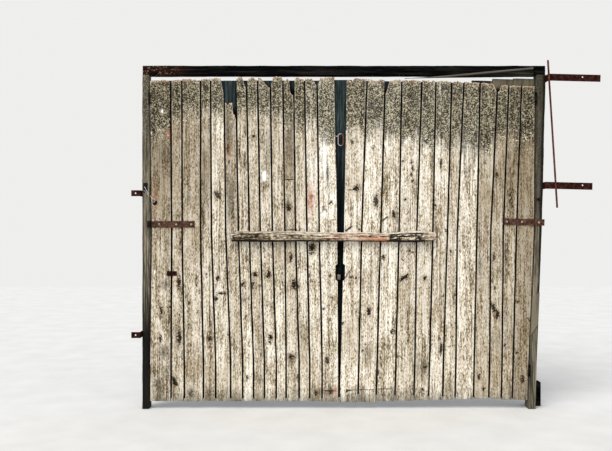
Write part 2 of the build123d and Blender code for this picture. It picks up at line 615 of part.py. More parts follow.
def left_tie(level):
    """Flat iron from the left post's outer face round onto the wall."""
    outer = -HINGE_GAP - POST_WIDTH
    low, high = level - LEFT_TIE_HEIGHT / 2, level + LEFT_TIE_HEIGHT / 2
    reach = MEETING_X - LEFT_TIE_REACH
    leg = box(reach, outer, -TIE_SETBACK - TIE_T, -TIE_SETBACK, low, high)
    back = box(outer - TIE_T, outer, -TIE_SETBACK - TIE_T, TIE_RETURN, low, high)
    x = MEETING_X - LEFT_TIE_HOLE_X
    hole = rod((x, -2 * TIE_SETBACK, level), (x, 0, level), TIE_HOLE_R)
    screw_hole = rod((outer - TIE_SETBACK, TIE_RETURN / 2, level), (outer, TIE_RETURN / 2, level),
                     BOLT_R + BOLT_FIT)
    return (leg + back).cut(hole, screw_hole)


def right_tie_frame(level):
    """Outer face of the right post at a tie, in the leaning frame: its X and the tie's height."""
    x, z = in_right_leaf(right_post_side(level, True)[0], level)
    return HINGE_GAP + RIGHT_POST_HEAD_WIDTH, z


def right_tie(index):
    """Flat iron from the right post's outer face round onto the wall, in the leaning frame."""
    level, reach = RIGHT_TIE_LEVELS[index], RIGHT_TIE_REACHES[index]
    outer, z = right_tie_frame(level)
    low, high = z - RIGHT_TIE_HEIGHT / 2, z + RIGHT_TIE_HEIGHT / 2
    end = in_right_leaf(MEETING_X + reach, level)[0]
    leg = box(outer, end, -TIE_SETBACK - TIE_T, -TIE_SETBACK, low, high)
    back = box(outer, outer + TIE_T, -TIE_SETBACK - TIE_T, TIE_RETURN, low, high)
    x, hole_z = in_right_leaf(MEETING_X + RIGHT_TIE_HOLE_X, level)
    hole = rod((x, -2 * TIE_SETBACK, hole_z), (x, 0, hole_z), TIE_HOLE_R)
    screw_hole = rod((outer, TIE_RETURN / 2, z), (outer + TIE_SETBACK, TIE_RETURN / 2, z),
                     BOLT_R + BOLT_FIT)
    return (leg + back).cut(hole, screw_hole)


def tie_screw(x, z, side):
    """Screw through a tie's return leg into the post; side is the way that its head faces."""
    y = TIE_RETURN / 2
    outside = x + side * TIE_T
    shank = rod((x - side * TIE_SCREW_LENGTH, y, z), (outside, y, z), BOLT_R)
    head = rod((outside, y, z), (outside + side * BOLT_HEAD_T, y, z), BOLT_HEAD_R)
    return shank + head


def tie_screw_hole(x, z, side):
    """Hole in the post for a tie's screw."""
    y = TIE_RETURN / 2
    return rod((x - side * (TIE_SCREW_LENGTH + 1), y, z), (x + side, y, z), BOLT_R + BOLT_FIT)


def hanging_rod():
    """Rusty rod that leans against the front of both right ties."""
    y = -TIE_SETBACK - TIE_T - SEAT - ROD_R
    top = (MEETING_X + ROD_TOP[0], y, ROD_TOP[1])
    return rod(top, (MEETING_X + ROD_FOOT[0], y, ROD_FOOT[1]), ROD_R)


def bar_section(station):
    """Eight-sided section of the bar, flat against the boards at Y = 0."""
    offset, middle, height, depth = station
    x = MEETING_X + offset
    half, c, d = height / 2, BAR_CORNER * height, BAR_CORNER * depth
    back, front = -SEAT, -SEAT - depth
    ring = [(back, -half + c / 3), (back - d / 3, -half), (front + d, -half), (front, -half + c),
            (front, half - c), (front + d, half), (back - d / 3, half), (back, half - c / 3)]
    return Wire.make_polygon([(x, y, middle + z) for y, z in ring])


def bar():
    """Rough rail across both leaves, relieved behind where it laps the right one."""
    rail = Solid.make_loft([bar_section(station) for station in BAR_STATIONS], ruled=True)
    right = MEETING_X + BAR_STATIONS[-1][0] + BOARD_T
    left = MEETING_X - LOCK_NOTCH_DEPTH
    middle = BAR_STATIONS[0][1]
    relief = box(left, right, -BAR_EASE, BOARD_T, middle - BAR_HALF_ROOM, middle + BAR_HALF_ROOM)
    holes = [shank_hole(LEFT, s, z, SPIKE / 2 + NAIL_FIT) for s, z in spike_places()]
    deep = [Pos(0, -3 * BOARD_T, 0) * hole for hole in holes]
    return rail.cut(relief, *holes, *deep)


def bar_depth(offset):
    """Depth of the bar's section at a distance along it."""
    for a, b in zip(BAR_STATIONS, BAR_STATIONS[1:]):
        if a[0] <= offset <= b[0]:
            return a[3] + (offset - a[0]) / (b[0] - a[0]) * (b[3] - a[3])
    return BAR_STATIONS[0][3]


def bar_spike(offset, place):
    """Spike through bar and leaf, with a broad head on the bar."""
    s, z = place
    half, head = SPIKE / 2, SPIKE_HEAD / 2
    face = -SEAT - bar_depth(offset) - SEAT
    shank = box(s - half, s + half, face, BOARD_T + LEFT_LINING_T, z - half, z + half)
    cap = box(s - head, s + head, face - SPIKE_HEAD_T, face, z - head, z + head)
    return cap + shank


def lock_staple():
    """Wire staple in the left leaf's edge that carries the padlock."""
    edge = at_level(LEFT_LINES[-1], LOCK_LEVEL) - LOCK_NOTCH_DEPTH
    y, low, high = BOARD_T / 2, LOCK_LEVEL - STAPLE_HALF, LOCK_LEVEL + STAPLE_HALF
    start, end = edge - STAPLE_BITE, edge + STAPLE_REACH
    legs = rod((start, y, low), (end, y, low), WIRE_R) + rod((start, y, high), (end, y, high), WIRE_R)
    bow = rod((end, y, low), (end, y, high), WIRE_R)
    knees = Pos(end, y, low) * Sphere(WIRE_R) + Pos(end, y, high) * Sphere(WIRE_R)
    return legs + bow + knees


def shackle_place():
    """Middle of the shackle's bend: X, Y and Z."""
    edge = at_level(LEFT_LINES[-1], LOCK_LEVEL) - LOCK_NOTCH_DEPTH
    crown = LOCK_LEVEL - STAPLE_HALF + WIRE_R + SEAT + SHACKLE_R
    x = edge + STAPLE_REACH - WIRE_R - SHACKLE_R - SHACKLE_MARGIN
    return x, BOARD_T / 2, crown - SHACKLE_BEND


def padlock():
    """Body and shackle of the padlock that hangs on the staple."""
    x, y, z = shackle_place()
    bend = Plane((x, y, z), x_dir=(0, 1, 0), z_dir=(1, 0, 0)) * Torus(SHACKLE_BEND, SHACKLE_R)
    reach = LOCK_DEPTH
    bend = bend & box(x - reach, x + reach, y - reach, y + reach, z, z + reach)
    legs = [rod((x, y + side * SHACKLE_BEND, z - SHACKLE_LEG - SHACKLE_BITE),
                (x, y + side * SHACKLE_BEND, z), SHACKLE_R) for side in (-1, 1)]
    shackle = bend + legs[0] + legs[1]
    top = z - SHACKLE_LEG
    body = box(x - LOCK_WIDTH / 2, x + LOCK_WIDTH / 2, y - LOCK_DEPTH / 2, y + LOCK_DEPTH / 2,
               top - LOCK_HEIGHT, top)
    body = fillet(body.edges().filter_by(Axis.X), LOCK_ROUND * 1.5)
    body = chamfer(body.faces().filter_by(Axis.X).edges(), LOCK_ROUND / 3)
    for side in (-1, 1):
        leg_y = y + side * SHACKLE_BEND
        body = body - rod((x, leg_y, top - SHACKLE_BITE - 1), (x, leg_y, top + 1), SHACKLE_R + SEAT)
    return body, shackle


def wire_ring():
    """Long wire ring on a stem in the left leaf's edge."""
    edge = at_level(LEFT_LINES[-1], ring_stem_level())
    bend = RING_WIDTH / 2 - RING_WIRE_R
    x, y = edge + RING_OFFSET + RING_WIDTH / 2, BOARD_T / 2
    top, foot = ring_stem_level(), RING_LEVEL - RING_HEIGHT / 2 + RING_WIDTH / 2
    sides = [rod((x + side * bend, y, foot), (x + side * bend, y, top), RING_WIRE_R)
             for side in (-1, 1)]
    hoop = Plane((0, 0, 0), x_dir=(1, 0, 0), z_dir=(0, 1, 0)) * Torus(bend, RING_WIRE_R)
    reach = RING_WIDTH
    upper = (Pos(x, y, top) * hoop) & box(x - reach, x + reach, -reach, reach, top, top + reach)
    lower = (Pos(x, y, foot) * hoop) & box(x - reach, x + reach, -reach, reach, foot - reach, foot)
    stem = rod((edge - STEM_BITE, y, top), (x - bend, y, top), RING_WIRE_R)
    return sides[0] + sides[1] + upper + lower + stem


def patch_plate():
    """Flat iron over the left leaf's first crack."""
    half, rise = PATCH_LENGTH / 2, PATCH_WIDTH / 2
    return box(PATCH_S - half, PATCH_S + half, -SEAT - PATCH_T, -SEAT, PATCH_LEVEL - rise,
               PATCH_LEVEL + rise)


def post_plate():
    """Small plate on the left post's front."""
    x = -HINGE_GAP - POST_WIDTH / 2
    half, rise = POST_PLATE_WIDTH / 2, POST_PLATE_HEIGHT / 2
    return box(x - half, x + half, -SEAT - POST_PLATE_T, -SEAT, POST_PLATE_LEVEL - rise,
               POST_PLATE_LEVEL + rise)


def bent_nails():
    """Two long nails hammered over on the right leaf, in the plumb frame."""
    y = -SEAT - KEEPER_R
    x = MEETING_X + KEEPER_X
    keeper = rod((x, y, KEEPER_LOW), (x, y, KEEPER_HIGH), KEEPER_R)
    tail = rod((x, y, KEEPER_HIGH - KEEPER_R), (x, BENT_NAIL_BITE, KEEPER_HIGH - KEEPER_R), KEEPER_R)
    foot = (MEETING_X + BENT_NAIL_FOOT[0], -SEAT - WIRE_R, BENT_NAIL_FOOT[1])
    tip = (MEETING_X + BENT_NAIL_TIP[0], -SEAT - WIRE_R, BENT_NAIL_TIP[1])
    nail_shank = rod(foot, (foot[0], BENT_NAIL_BITE, foot[2]), WIRE_R)
    return [keeper + tail, rod(foot, tip, WIRE_R) + nail_shank]


def bent_nail_holes():
    """Holes in the right leaf's boards for the two bent nails, in the plumb frame."""
    x, z = MEETING_X + KEEPER_X, KEEPER_HIGH - KEEPER_R
    foot = (MEETING_X + BENT_NAIL_FOOT[0], BENT_NAIL_FOOT[1])
    return [rod((x, -1, z), (x, BENT_NAIL_BITE + 1, z), KEEPER_R + SEAT),
            rod((foot[0], -1, foot[1]), (foot[0], BENT_NAIL_BITE + 1, foot[1]), WIRE_R + SEAT)]


def leaf_nodes(leaf):
    """Named pieces of one leaf, in the plumb frame."""
    holes = leaf_holes(leaf)
    nodes = {}
    for index in range(len(leaf.lines) - 1):
        board = leaf.place * outer_board(leaf, index, holes)
        if leaf is RIGHT:
            board = cut_all(board, bent_nail_holes())
        nodes[f"{leaf.name}_board_{index + 1:02d}"] = [board]
    nodes[f"{leaf.name}_lining"] = [leaf.place * piece for piece in lining_boards(leaf, holes)]
    nodes[f"{leaf.name}_ledges"] = [leaf.place * piece for piece in ledges_and_braces(leaf, holes)]
    nodes[f"{leaf.name}_nails"] = [leaf.place * nail(leaf, *place) for place in nail_places(leaf)]
    nodes[f"{leaf.name}_strap"] = [leaf.place * leaf_strap(leaf)]
    nodes[f"{leaf.name}_bolts"] = [leaf.place * bolt(leaf, s, leaf.strap_level) for s in leaf.bolts]
    nodes[f"{leaf.name}_butts"] = [leaf.place * butt_plate(leaf, low, True) for low in BUTT_LEVELS]
    return nodes


def frame_nodes():
    """Named pieces of the frame and its irons, in the plumb frame."""
    upper, lower = right_post_pieces()
    outer = -HINGE_GAP - POST_WIDTH
    left_holes = [tie_screw_hole(outer, level, -1) for level in LEFT_TIE_LEVELS]
    left_screws = [tie_screw(outer, level, -1) for level in LEFT_TIE_LEVELS]
    right_frames = [right_tie_frame(level) for level in RIGHT_TIE_LEVELS]
    right_holes = [RIGHT_PLACE * tie_screw_hole(x, z, 1) for x, z in right_frames]
    right_screws = [RIGHT_PLACE * tie_screw(x, z, 1) for x, z in right_frames]
    level = RIGHT_STRAP_HEIGHT
    face = -SEAT - STRAP_T
    jamb_screw = rod((JAMB_BOLT, face - BOLT_HEAD_T, level), (JAMB_BOLT, face, level), BOLT_HEAD_R)
    jamb_screw = jamb_screw + rod((JAMB_BOLT, face, level), (JAMB_BOLT, TIE_SCREW_LENGTH, level),
                                  BOLT_R)
    jamb_hole = rod((JAMB_BOLT, -1, level), (JAMB_BOLT, TIE_SCREW_LENGTH + 1, level),
                    BOLT_R + BOLT_FIT)
    right_holes.append(RIGHT_PLACE * jamb_hole)
    right_ties = [RIGHT_PLACE * right_tie(index) for index in range(len(RIGHT_TIE_LEVELS))]
    left_jambs = [jamb_strap(LEFT)] + [butt_plate(LEFT, z, False) for z in BUTT_LEVELS]
    right_jambs = [jamb_strap(RIGHT)] + [butt_plate(RIGHT, z, False) for z in BUTT_LEVELS]
    nodes = {
        "left_post": [cut_all(left_post(), left_holes)],
        "right_post_upper": [upper.cut(*right_holes)],
        "right_post_foot": [lower],
        "head_beam": [head_beam()],
        "head_slat": [head_slat()],
        "right_packing": right_packing(),
        "left_ties": [left_tie(level) for level in LEFT_TIE_LEVELS],
        "right_ties": right_ties,
        "frame_screws": left_screws + right_screws + [RIGHT_PLACE * jamb_screw],
        "hanging_rod": [hanging_rod()],
        "post_plate": [post_plate()],
        "left_jamb_hinges": left_jambs,
        "right_jamb_hinges": [RIGHT_PLACE * hinge for hinge in right_jambs],
    }
    return nodes


def fitting_nodes():
    """Named pieces that only one of the leaves carries."""
    lock_body, lock_shackle = padlock()
    return {
        "cover_strip": [cover_strip()],
        "bar": [bar()],
        "bar_spikes": [bar_spike(*pair) for pair in zip(BAR_SPIKES, spike_places())],
        "lock_staple": [lock_staple()],
        "padlock_body": [lock_body],
        "padlock_shackle": [lock_shackle],
        "wire_ring": [wire_ring()],
        "patch_plate": [patch_plate()],
        "bent_nails": bent_nails(),
    }


def all_nodes():
    """Every named piece, moved to the finished origin."""
    nodes = {**frame_nodes(), **leaf_nodes(LEFT), **leaf_nodes(RIGHT), **fitting_nodes()}
    finished = {}
    for name, pieces in nodes.items():
        solids = [solid for piece in pieces for solid in piece.solids()]
        finished[name] = [solid.moved(ORIGIN) for solid in solids]
    return finished


def hinge_line(leaf, level):
    """Point on a leaf's hinge line at a height of its own frame, with the finished origin."""
    place = ORIGIN * leaf.place * Location((-leaf.side * HINGE_GAP / 2, HINGE_Y, level))
    return place.position


if __name__ == "__main__":
    os.makedirs("parts", exist_ok=True)
    for name, solids in all_nodes().items():
        shape = solids[0] if len(solids) == 1 else Compound(children=solids)
        export_step(shape, f"parts/{name}.step")
    print("left hinge line", hinge_line(LEFT, 0.0))
    print("right hinge line", hinge_line(RIGHT, 0.0))
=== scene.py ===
import math

import bpy
import numpy as np
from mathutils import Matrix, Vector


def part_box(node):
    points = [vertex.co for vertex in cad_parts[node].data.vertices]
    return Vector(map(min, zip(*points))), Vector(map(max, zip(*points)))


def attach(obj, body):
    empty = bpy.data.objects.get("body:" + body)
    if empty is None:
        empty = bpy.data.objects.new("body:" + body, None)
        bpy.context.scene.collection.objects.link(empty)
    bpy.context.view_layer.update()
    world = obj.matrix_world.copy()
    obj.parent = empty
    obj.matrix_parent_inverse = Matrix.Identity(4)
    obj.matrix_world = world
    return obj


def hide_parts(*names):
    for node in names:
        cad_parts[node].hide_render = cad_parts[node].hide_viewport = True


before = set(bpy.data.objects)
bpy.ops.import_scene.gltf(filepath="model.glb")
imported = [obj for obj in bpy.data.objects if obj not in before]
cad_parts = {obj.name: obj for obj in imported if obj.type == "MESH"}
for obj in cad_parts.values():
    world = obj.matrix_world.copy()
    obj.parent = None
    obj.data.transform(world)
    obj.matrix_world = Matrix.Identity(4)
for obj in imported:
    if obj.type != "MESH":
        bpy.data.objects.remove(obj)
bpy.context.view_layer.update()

# Where the photograph was taken from, and how its pixels lie on the front of the boards
IMAGE_WIDTH = 612              # of the photograph, in its pixels
METRES_PER_PIXEL = 0.0085
MEETING_PIXEL = 339.0          # column of the photograph in which the two leaves meet
GROUND_PIXEL = 409.0           # row of the photograph at the foot of the posts
MEETING_X = 1.645              # X of the same place
BOARD_FACE = -0.060            # front plane of the boards
CAMERA_DISTANCE, CAMERA_HEIGHT, VIEW_ANGLE = 7.0, 1.56, math.radians(40.77)
SUN_STRENGTH, SUN_TILT, SUN_TURN = 2.35, 44, -30    # tilt from straight down, turn from straight ahead
SUN_WIDTH = 40                 # degrees across, which makes its shadows soft
SKY_COLOUR, SKY_STRENGTH = (0.93, 0.96, 1.0, 1), 0.72
BACKDROP_COLOUR = (0.86, 0.86, 0.85, 1)        # what the camera sees of the sky
FLOOR_HALF, FLOOR_DEPTH = 14.0, 0.001          # half the floor's width, and how far below the posts it lies
RIGHT_STRAP_LEVEL = 1.590      # height of the right leaf's strap hinge
RING_MIDDLE = 1.665            # middle of the wire ring at the meeting edge
POST_SLOPE = 0.0244            # how far the right post leans outwards in each metre of its height
POST_SHADE_LINE = 3.303              # X at the ground of the line beyond which the right post is painted near-black as shade
STRAP_SHADE = 0.050            # X up to which the left strap's hinge end lies in the dark
FOOT_X = 3.27                  # X at which the foot's saw cut and its scarf lie at the heights that follow
SAW_CUT, SCARF = (1.3, 0.622), (0.6, 0.952)    # rise in each metre of X, and height at that X

# Boards: spacing of the points in the surface, in metres
COLUMN_EDGES = (0.0, 0.0025, 0.006)
COLUMN_COUNT = 18
ROW_STEP = 0.012
END_ZONE, END_ROWS = 0.04, 16
END_SHARES, END_SAMPLES = (0.004, 0.996), 300  # where across a timber its end line is read
END_TRIES = 4                  # times that a leaning timber's end is read again at its own level
SOUND_SHARES = (0.03, 0.9)     # of a timber's length, between which its edges are unbroken
EDGE_ROUND, ARRIS = 0.004, 0.0035        # radius of the long edges, and how far in from them the painted highlight and painted shade reach
CUP, RIDGE, WAVE, SPLINTER = 0.0011, 0.0008, 0.0013, 0.009
BEND_FIRST, BEND_LAST = 1.1, 2.0         # heights between which a board's lower tone becomes its upper one
GRAIN_STEP = (1.37, 0.71)      # how far apart the grain of two boards lies, behind one another and along
CRACK_END = 0.05               # over which a long crack fades at both ends
NO_KNOT = 6.0                  # distance, in a knot's own half sizes, that stands for none near
KNOT_DRAW, KNOT_REACH = 0.62, 1.9        # how strongly and how far a knot bends the grain
EDGE_SLACK = 0.004             # by which a mark's centre may lie beyond its board's edge

FRESH_DEPTH = 0.011            # pale broken wood at a board's top, partly a painted highlight along the top edge
LEVEL_STEP = 0.011             # between the heights at which an outline is read
CRACK_LAP = 0.003              # widens the left leaf's first two boards at the crack between them
LINING_LAP = 0.0021            # widens the inner boards, so that no light comes between them
LINING_SHARES = (0.01, 0.985)  # of an inner board's length, between which its edges are unbroken

# Where the inner boards show and are not painted black as shade, in the photograph's pixels, and over how
# many pixels each limit fades
BARE_ROW, BARE_FADE = 90, 4    # above it they lie open over the leaves
HOLE_ROW, HOLE_FADE = 112, 6   # above it they lie open in the broken board's hole
HOLE_COLUMN, HOLE_HALF, HOLE_SIDE_FADE = 229, 8, 2
TAN_COLUMN, TAN_FADE = 490, 3  # right of it their tops are bare and tan

# Brightness of each board in its upper and lower half, from the post to the meeting edge
LEFT_TONES = [
    (0.44, 0.95), (0.62, 0.90), (0.66, 0.95), (0.65, 0.95), (1.10, 1.05), (0.70, 0.95), (0.95, 1.10),
    (0.90, 1.00), (0.95, 1.10), (0.90, 1.10), (0.80, 1.00), (0.90, 1.10), (1.20, 1.12), (1.36, 1.16),
]
RIGHT_TONES = [
    (0.44, 0.54), (0.46, 0.80), (0.62, 0.85), (0.70, 0.80), (1.10, 1.10), (0.90, 1.00), (1.10, 1.10),
    (1.15, 1.05), (1.05, 1.00), (1.30, 1.15), (1.25, 1.15), (1.10, 1.15),
]
LICHEN_FADE = 0.26             # height over which the lichen thins out
# Lower limit of the lichen on each board, as a row of the photograph
LEFT_LICHEN = (133, 120, 117, 114, 116, 116, 115, 115, 117, 121, 124, 133, 126, 141)
RIGHT_LICHEN = (143, 140, 140, 152, 153, 142, 145, 145, 143, 139, 134, 133)

# Marks read off the photograph, in its pixels: column, row, half width, half height, strength
KNOTS = [
    (255, 274.7, 2, 2.2, 0.95), (268.7, 274.3, 2, 3.5, 0.8), (242.6, 284.5, 1.8, 2.6, 0.8),
    (252.8, 285.5, 1.6, 3.5, 0.7), (294.2, 284.5, 2.4, 4.2, 0.95), (297.6, 286.4, 1.2, 2.2, 0.8),
    (291, 257.7, 1.6, 3.6, 0.7), (312, 247.5, 3, 3.6, 0.9), (311.5, 252.8, 2, 1.6, 0.7),
    (217.7, 278, 1.8, 1.8, 0.8), (221.5, 293.4, 4.6, 1.1, 0.9), (215.8, 298.5, 1.8, 2.6, 0.8),
    (161, 310.7, 1.1, 4.2, 0.85), (178.8, 282.6, 1.8, 5.2, 0.8), (179.4, 337.4, 2, 6, 0.85),
    (160.3, 338.7, 1.1, 3.6, 0.75), (270.6, 337.4, 2.1, 2.1, 0.95), (269.4, 342.2, 1.4, 1.6, 0.8),
    (209.4, 338.9, 2.2, 2.2, 0.75), (229.2, 334.6, 1.4, 2.8, 0.8), (291.7, 356.6, 2.6, 2.2, 0.8),
    (327.4, 360.4, 1.8, 3.6, 0.6), (330, 275.6, 1.2, 1.4, 0.8), (323.6, 308.7, 1.4, 1.2, 0.6),
    (331.9, 297.9, 1.2, 0.9, 0.6), (330, 319.6, 0.9, 1.6, 0.6), (174.3, 382, 1.8, 3.4, 0.95),
    (247, 378.3, 1.4, 2.2, 0.45), (424.7, 278.1, 1.7, 1.9, 0.9), (404.6, 277.4, 2.6, 1.7, 0.85),
    (369, 311.1, 1.6, 3.8, 0.9), (342.4, 323.3, 1.7, 1.1, 0.9), (383, 257.3, 1.9, 1.9, 0.7),
    (350.8, 277.4, 1.2, 1.2, 0.7), (355.8, 278.1, 1.1, 1.2, 0.7), (391.7, 332, 1, 2.2, 0.7),
    (518, 301.8, 1.5, 1.5, 0.85), (493.6, 308, 1.5, 3.6, 0.8), (497.1, 315.4, 2, 3.4, 0.8),
    (441.2, 348.4, 1.5, 4.6, 0.75), (479.2, 377.1, 1.3, 3, 0.8), (523, 378.6, 1.6, 4, 0.6),
    (483.5, 389.3, 1.2, 1.6, 0.85), (425.4, 367.1, 1.9, 1.5, 0.75), (422.5, 389.3, 1.3, 1.3, 0.85),
    (439, 338.4, 1, 2, 0.6), (378, 372.8, 1.5, 2.4, 0.6), (253.4, 136.5, 1.5, 1.4, 0.85),
    (217.7, 194.6, 1.8, 2.4, 0.8), (288.9, 208, 1.9, 3.4, 0.8), (327.4, 172, 0.9, 6.5, 0.7),
    (330.6, 203, 1.5, 1.8, 0.7), (323.6, 210.5, 1.4, 2.6, 0.7), (228, 149, 1.6, 5, 0.6),
    (356.5, 188.4, 2.2, 2.6, 0.85), (352, 189.6, 3.6, 0.7, 0.7), (375.9, 200.5, 2, 6, 0.6),
    (373, 147.5, 1.1, 1.8, 0.75), (393.8, 214.3, 1.4, 3.6, 0.85), (405.3, 199.2, 1.2, 1.2, 0.9),
    (411.5, 162, 1, 1.8, 0.75), (412.5, 168, 1.1, 1.6, 0.75), (411.3, 175, 1, 2, 0.7),
    (412.6, 181, 1, 1.6, 0.75), (402.8, 161, 1.4, 1, 0.6), (427.6, 141, 2, 2.2, 0.85),
    (485, 161.9, 1.1, 1.5, 0.8), (497, 174.8, 1.4, 2.2, 0.6), (352.2, 141.8, 1.6, 1.6, 0.7),
    (435.2, 205, 1.1, 1.4, 0.6), (441, 163, 1, 3, 0.6), (494, 257, 1, 4, 0.6),
    (451, 251, 1, 2, 0.6), (446, 231, 1, 2, 0.4), (309.5, 275, 1, 1.8, 0.5), (313, 281, 1.6, 1, 0.5),
    (189, 303, 1.2, 2, 0.5), (199.5, 292, 0.9, 1.6, 0.6), (198, 312, 0.9, 2, 0.5),
    (167.3, 331, 0.8, 0.8, 0.9), (206.5, 275, 0.8, 2.6, 0.5), (298, 377, 1, 2.6, 0.6),
    (316, 393, 1.4, 2.6, 0.7), (331, 392, 1.6, 1.8, 0.7), (347, 391, 1.4, 1.2, 0.7),
    (366, 344, 0.8, 0.8, 0.85), (356, 352, 0.8, 0.8, 0.85), (362.5, 350.6, 0.8, 0.8, 0.85),
    (463, 236, 0.9, 0.9, 0.7), (464.5, 268, 0.8, 1.2, 0.7), (495, 288, 1, 1.8, 0.8),
    (483, 290, 0.8, 1.2, 0.7), (491.5, 281, 1.1, 1.2, 0.7), (443, 296, 1.2, 1, 0.6),
    (505, 345, 1, 1.2, 0.6), (516.5, 353, 1, 1, 0.8), (533, 349, 0.9, 1.6, 0.8),
    (306.5, 185, 1, 1.6, 0.4), (311.6, 196, 1.2, 1.2, 0.6), (229, 162, 0.9, 1.6, 0.4),
]
STAINS = [
    (243.9, 299.2, 3, 5.5, 0.5), (291.7, 359, 3.4, 6, 0.55), (259.8, 379.5, 3, 5, 0.5),
    (327.4, 139.5, 4.2, 4.4, 0.7), (165, 285, 5, 5, 0.35), (163, 352, 6, 7, 0.55),
    (157, 385, 5, 9, 0.5), (166, 371, 5, 9, 0.35), (191, 394, 4.5, 6, 0.7), (209, 394, 4, 6, 0.6),
    (235, 395, 4, 4, 0.35), (297, 392, 6, 5, 0.4), (324, 393, 7, 5, 0.4), (230.5, 200, 4, 22, 0.5),
    (229, 128, 4, 20, 0.45), (189, 197.8, 4, 5, 0.35), (205, 160, 3, 12, 0.3), (424, 366, 4, 10, 0.45),
    (371, 283, 2, 10, 0.3), (368, 352, 4, 10, 0.25), (302, 330, 3, 20, 0.25), (480, 266, 3, 12, 0.35),
    (378, 366, 2, 12, 0.35), (350, 396, 6, 5, 0.35), (376, 397, 8, 4, 0.3), (176, 335, 2.5, 14, 0.3),
    (497, 340, 5, 10, 0.2), (514, 330, 5, 30, 0.2), (526, 390, 6, 8, 0.3), (450, 388, 5, 6, 0.2),
    (418, 366, 3, 14, 0.3), (262, 330, 4, 30, 0.18), (287.5, 206, 3, 7, 0.5), (268, 150, 4, 22, 0.3),
    (163, 150, 5, 14, 0.25), (327.5, 178, 2, 16, 0.3), (289, 140, 5, 22, 0.35), (205, 186, 4, 26, 0.25),
]
RUSTY = [
    (169.4, 134.5, 2.6, 3.6, 0.95), (310.5, 199, 4.2, 15, 0.8), (312, 206, 2.4, 6, 0.8),
    (336, 390, 2.4, 3.4, 0.8), (153, 200, 4, 9, 0.45), (151, 187, 2, 10, 0.4), (172, 281, 4, 4, 0.3),
    (318, 205, 5, 3, 0.4), (204, 232, 3, 2, 0.15), (324, 208, 1.6, 3, 0.4), (228.5, 152, 2, 7, 0.35),
]
WHITE = [
    (162, 111, 1.2, 2.4, 0.9), (154.6, 272, 1.2, 2, 0.8), (165, 276, 1, 1.6, 0.7),
    (264.3, 176, 2.6, 6, 0.95), (311, 165, 4, 18, 0.5), (324, 160, 3.5, 24, 0.6), (324, 214, 3, 5, 0.7),
    (390, 150, 3, 16, 0.4), (369, 150, 5, 10, 0.35), (346, 132, 1.6, 3, 0.7), (435, 152, 4, 16, 0.45),
    (216, 170, 4, 20, 0.35), (437, 178, 3, 10, 0.45), (468, 158, 5, 20, 0.35), (406, 142, 2, 3, 0.7),
]
# Slanting and level cracks: both ends in the photograph's pixels, half width, strength
SLASHES = [
    (214.6, 192.6, 219.8, 197.6, 1.1, 0.95), (400.8, 280.4, 407.6, 274.6, 1.2, 0.95),
    (285.0, 179.6, 295.6, 179.4, 0.45, 0.8), (285.6, 229.8, 295.8, 229.6, 0.45, 0.6),
    (346.4, 390.2, 357.0, 389.8, 0.4, 0.5), (359.0, 389.8, 375.0, 389.4, 0.4, 0.5),
    (377.0, 389.2, 393.0, 388.8, 0.4, 0.4), (313.0, 390.4, 336.0, 391.0, 0.4, 0.45),
    (345.6, 231.0, 351.6, 226.4, 0.7, 0.8), (356.6, 226.0, 360.0, 230.4, 0.6, 0.7),
    (381.8, 221.0, 387.6, 216.8, 0.7, 0.6), (408.6, 250.4, 413.4, 252.4, 0.7, 0.8),
    (401.6, 258.6, 405.0, 262.4, 0.6, 0.6), (527.8, 318.0, 533.6, 326.0, 0.8, 0.6),
    (392.6, 329.0, 396.6, 333.0, 0.7, 0.7), (489.6, 300.6, 492.0, 306.0, 0.8, 0.8),
    (492.0, 306.0, 499.0, 313.4, 0.9, 0.8), (305.6, 281.0, 308.6, 286.0, 0.6, 0.6),
    (399.0, 355.6, 404.0, 359.4, 0.5, 0.6), (395.6, 352.0, 397.6, 358.0, 0.5, 0.6),
    (172.0, 378.0, 176.4, 384.4, 1.5, 0.9), (323.6, 206.0, 325.6, 211.0, 0.6, 0.7),
]
# Boards that were pieced together: column and row of the joint, and the tone above it
JOINTS = [(290.5, 179.5, 0.72)]
# Long cracks inside a board: the points that each follows, and its strength
SEAMS = [
    ([(327.9, 150), (328.3, 300), (329.2, 398)], 0.6), ([(357.4, 192), (357.6, 236)], 0.7),
    ([(382.5, 134), (384.5, 146), (387, 162)], 0.9), ([(411, 184), (409.4, 262), (409, 345)], 0.45),
    ([(305.0, 240), (307.3, 398)], 0.35), ([(425, 300), (424.6, 398)], 0.35),
    ([(466, 190), (466, 320)], 0.3), ([(487, 170), (486, 300)], 0.3), ([(503, 175), (501, 330)], 0.4),
    ([(371, 230), (370, 380)], 0.3), ([(167, 200), (166.5, 395)], 0.5), ([(191, 240), (191.5, 395)], 0.3),
    ([(528, 170), (526.6, 395)], 0.3), ([(351, 240), (350.4, 395)], 0.3), ([(218, 300), (219, 395)], 0.3),
    ([(440.5, 180), (440, 390)], 0.3),
]


def place(column, row):
    """X and Z, in metres, of a pixel of the photograph on the front of the boards."""
    return (column - MEETING_PIXEL) * METRES_PER_PIXEL + MEETING_X, (GROUND_PIXEL - row) * METRES_PER_PIXEL


def column_of(x):
    """Column of the photograph in which an X on the front of the boards lies."""
    return (x - MEETING_X) / METRES_PER_PIXEL + MEETING_PIXEL


def rise_over(values, start, length):
    """0 up to a start, 1 from a length beyond it, straight between; a negative length rises backwards."""
    return np.clip((values - start) / length, 0, 1)


# Repeatable noise for shapes

def lattice(ix, iz, seed):
    """Random numbers 0 to 1 at whole-number points: the fraction left of a large multiple of a sine."""
    return np.modf(np.abs(np.sin(ix * 127.1 + iz * 311.7 + seed * 74.7)) * 43758.5453)[0]


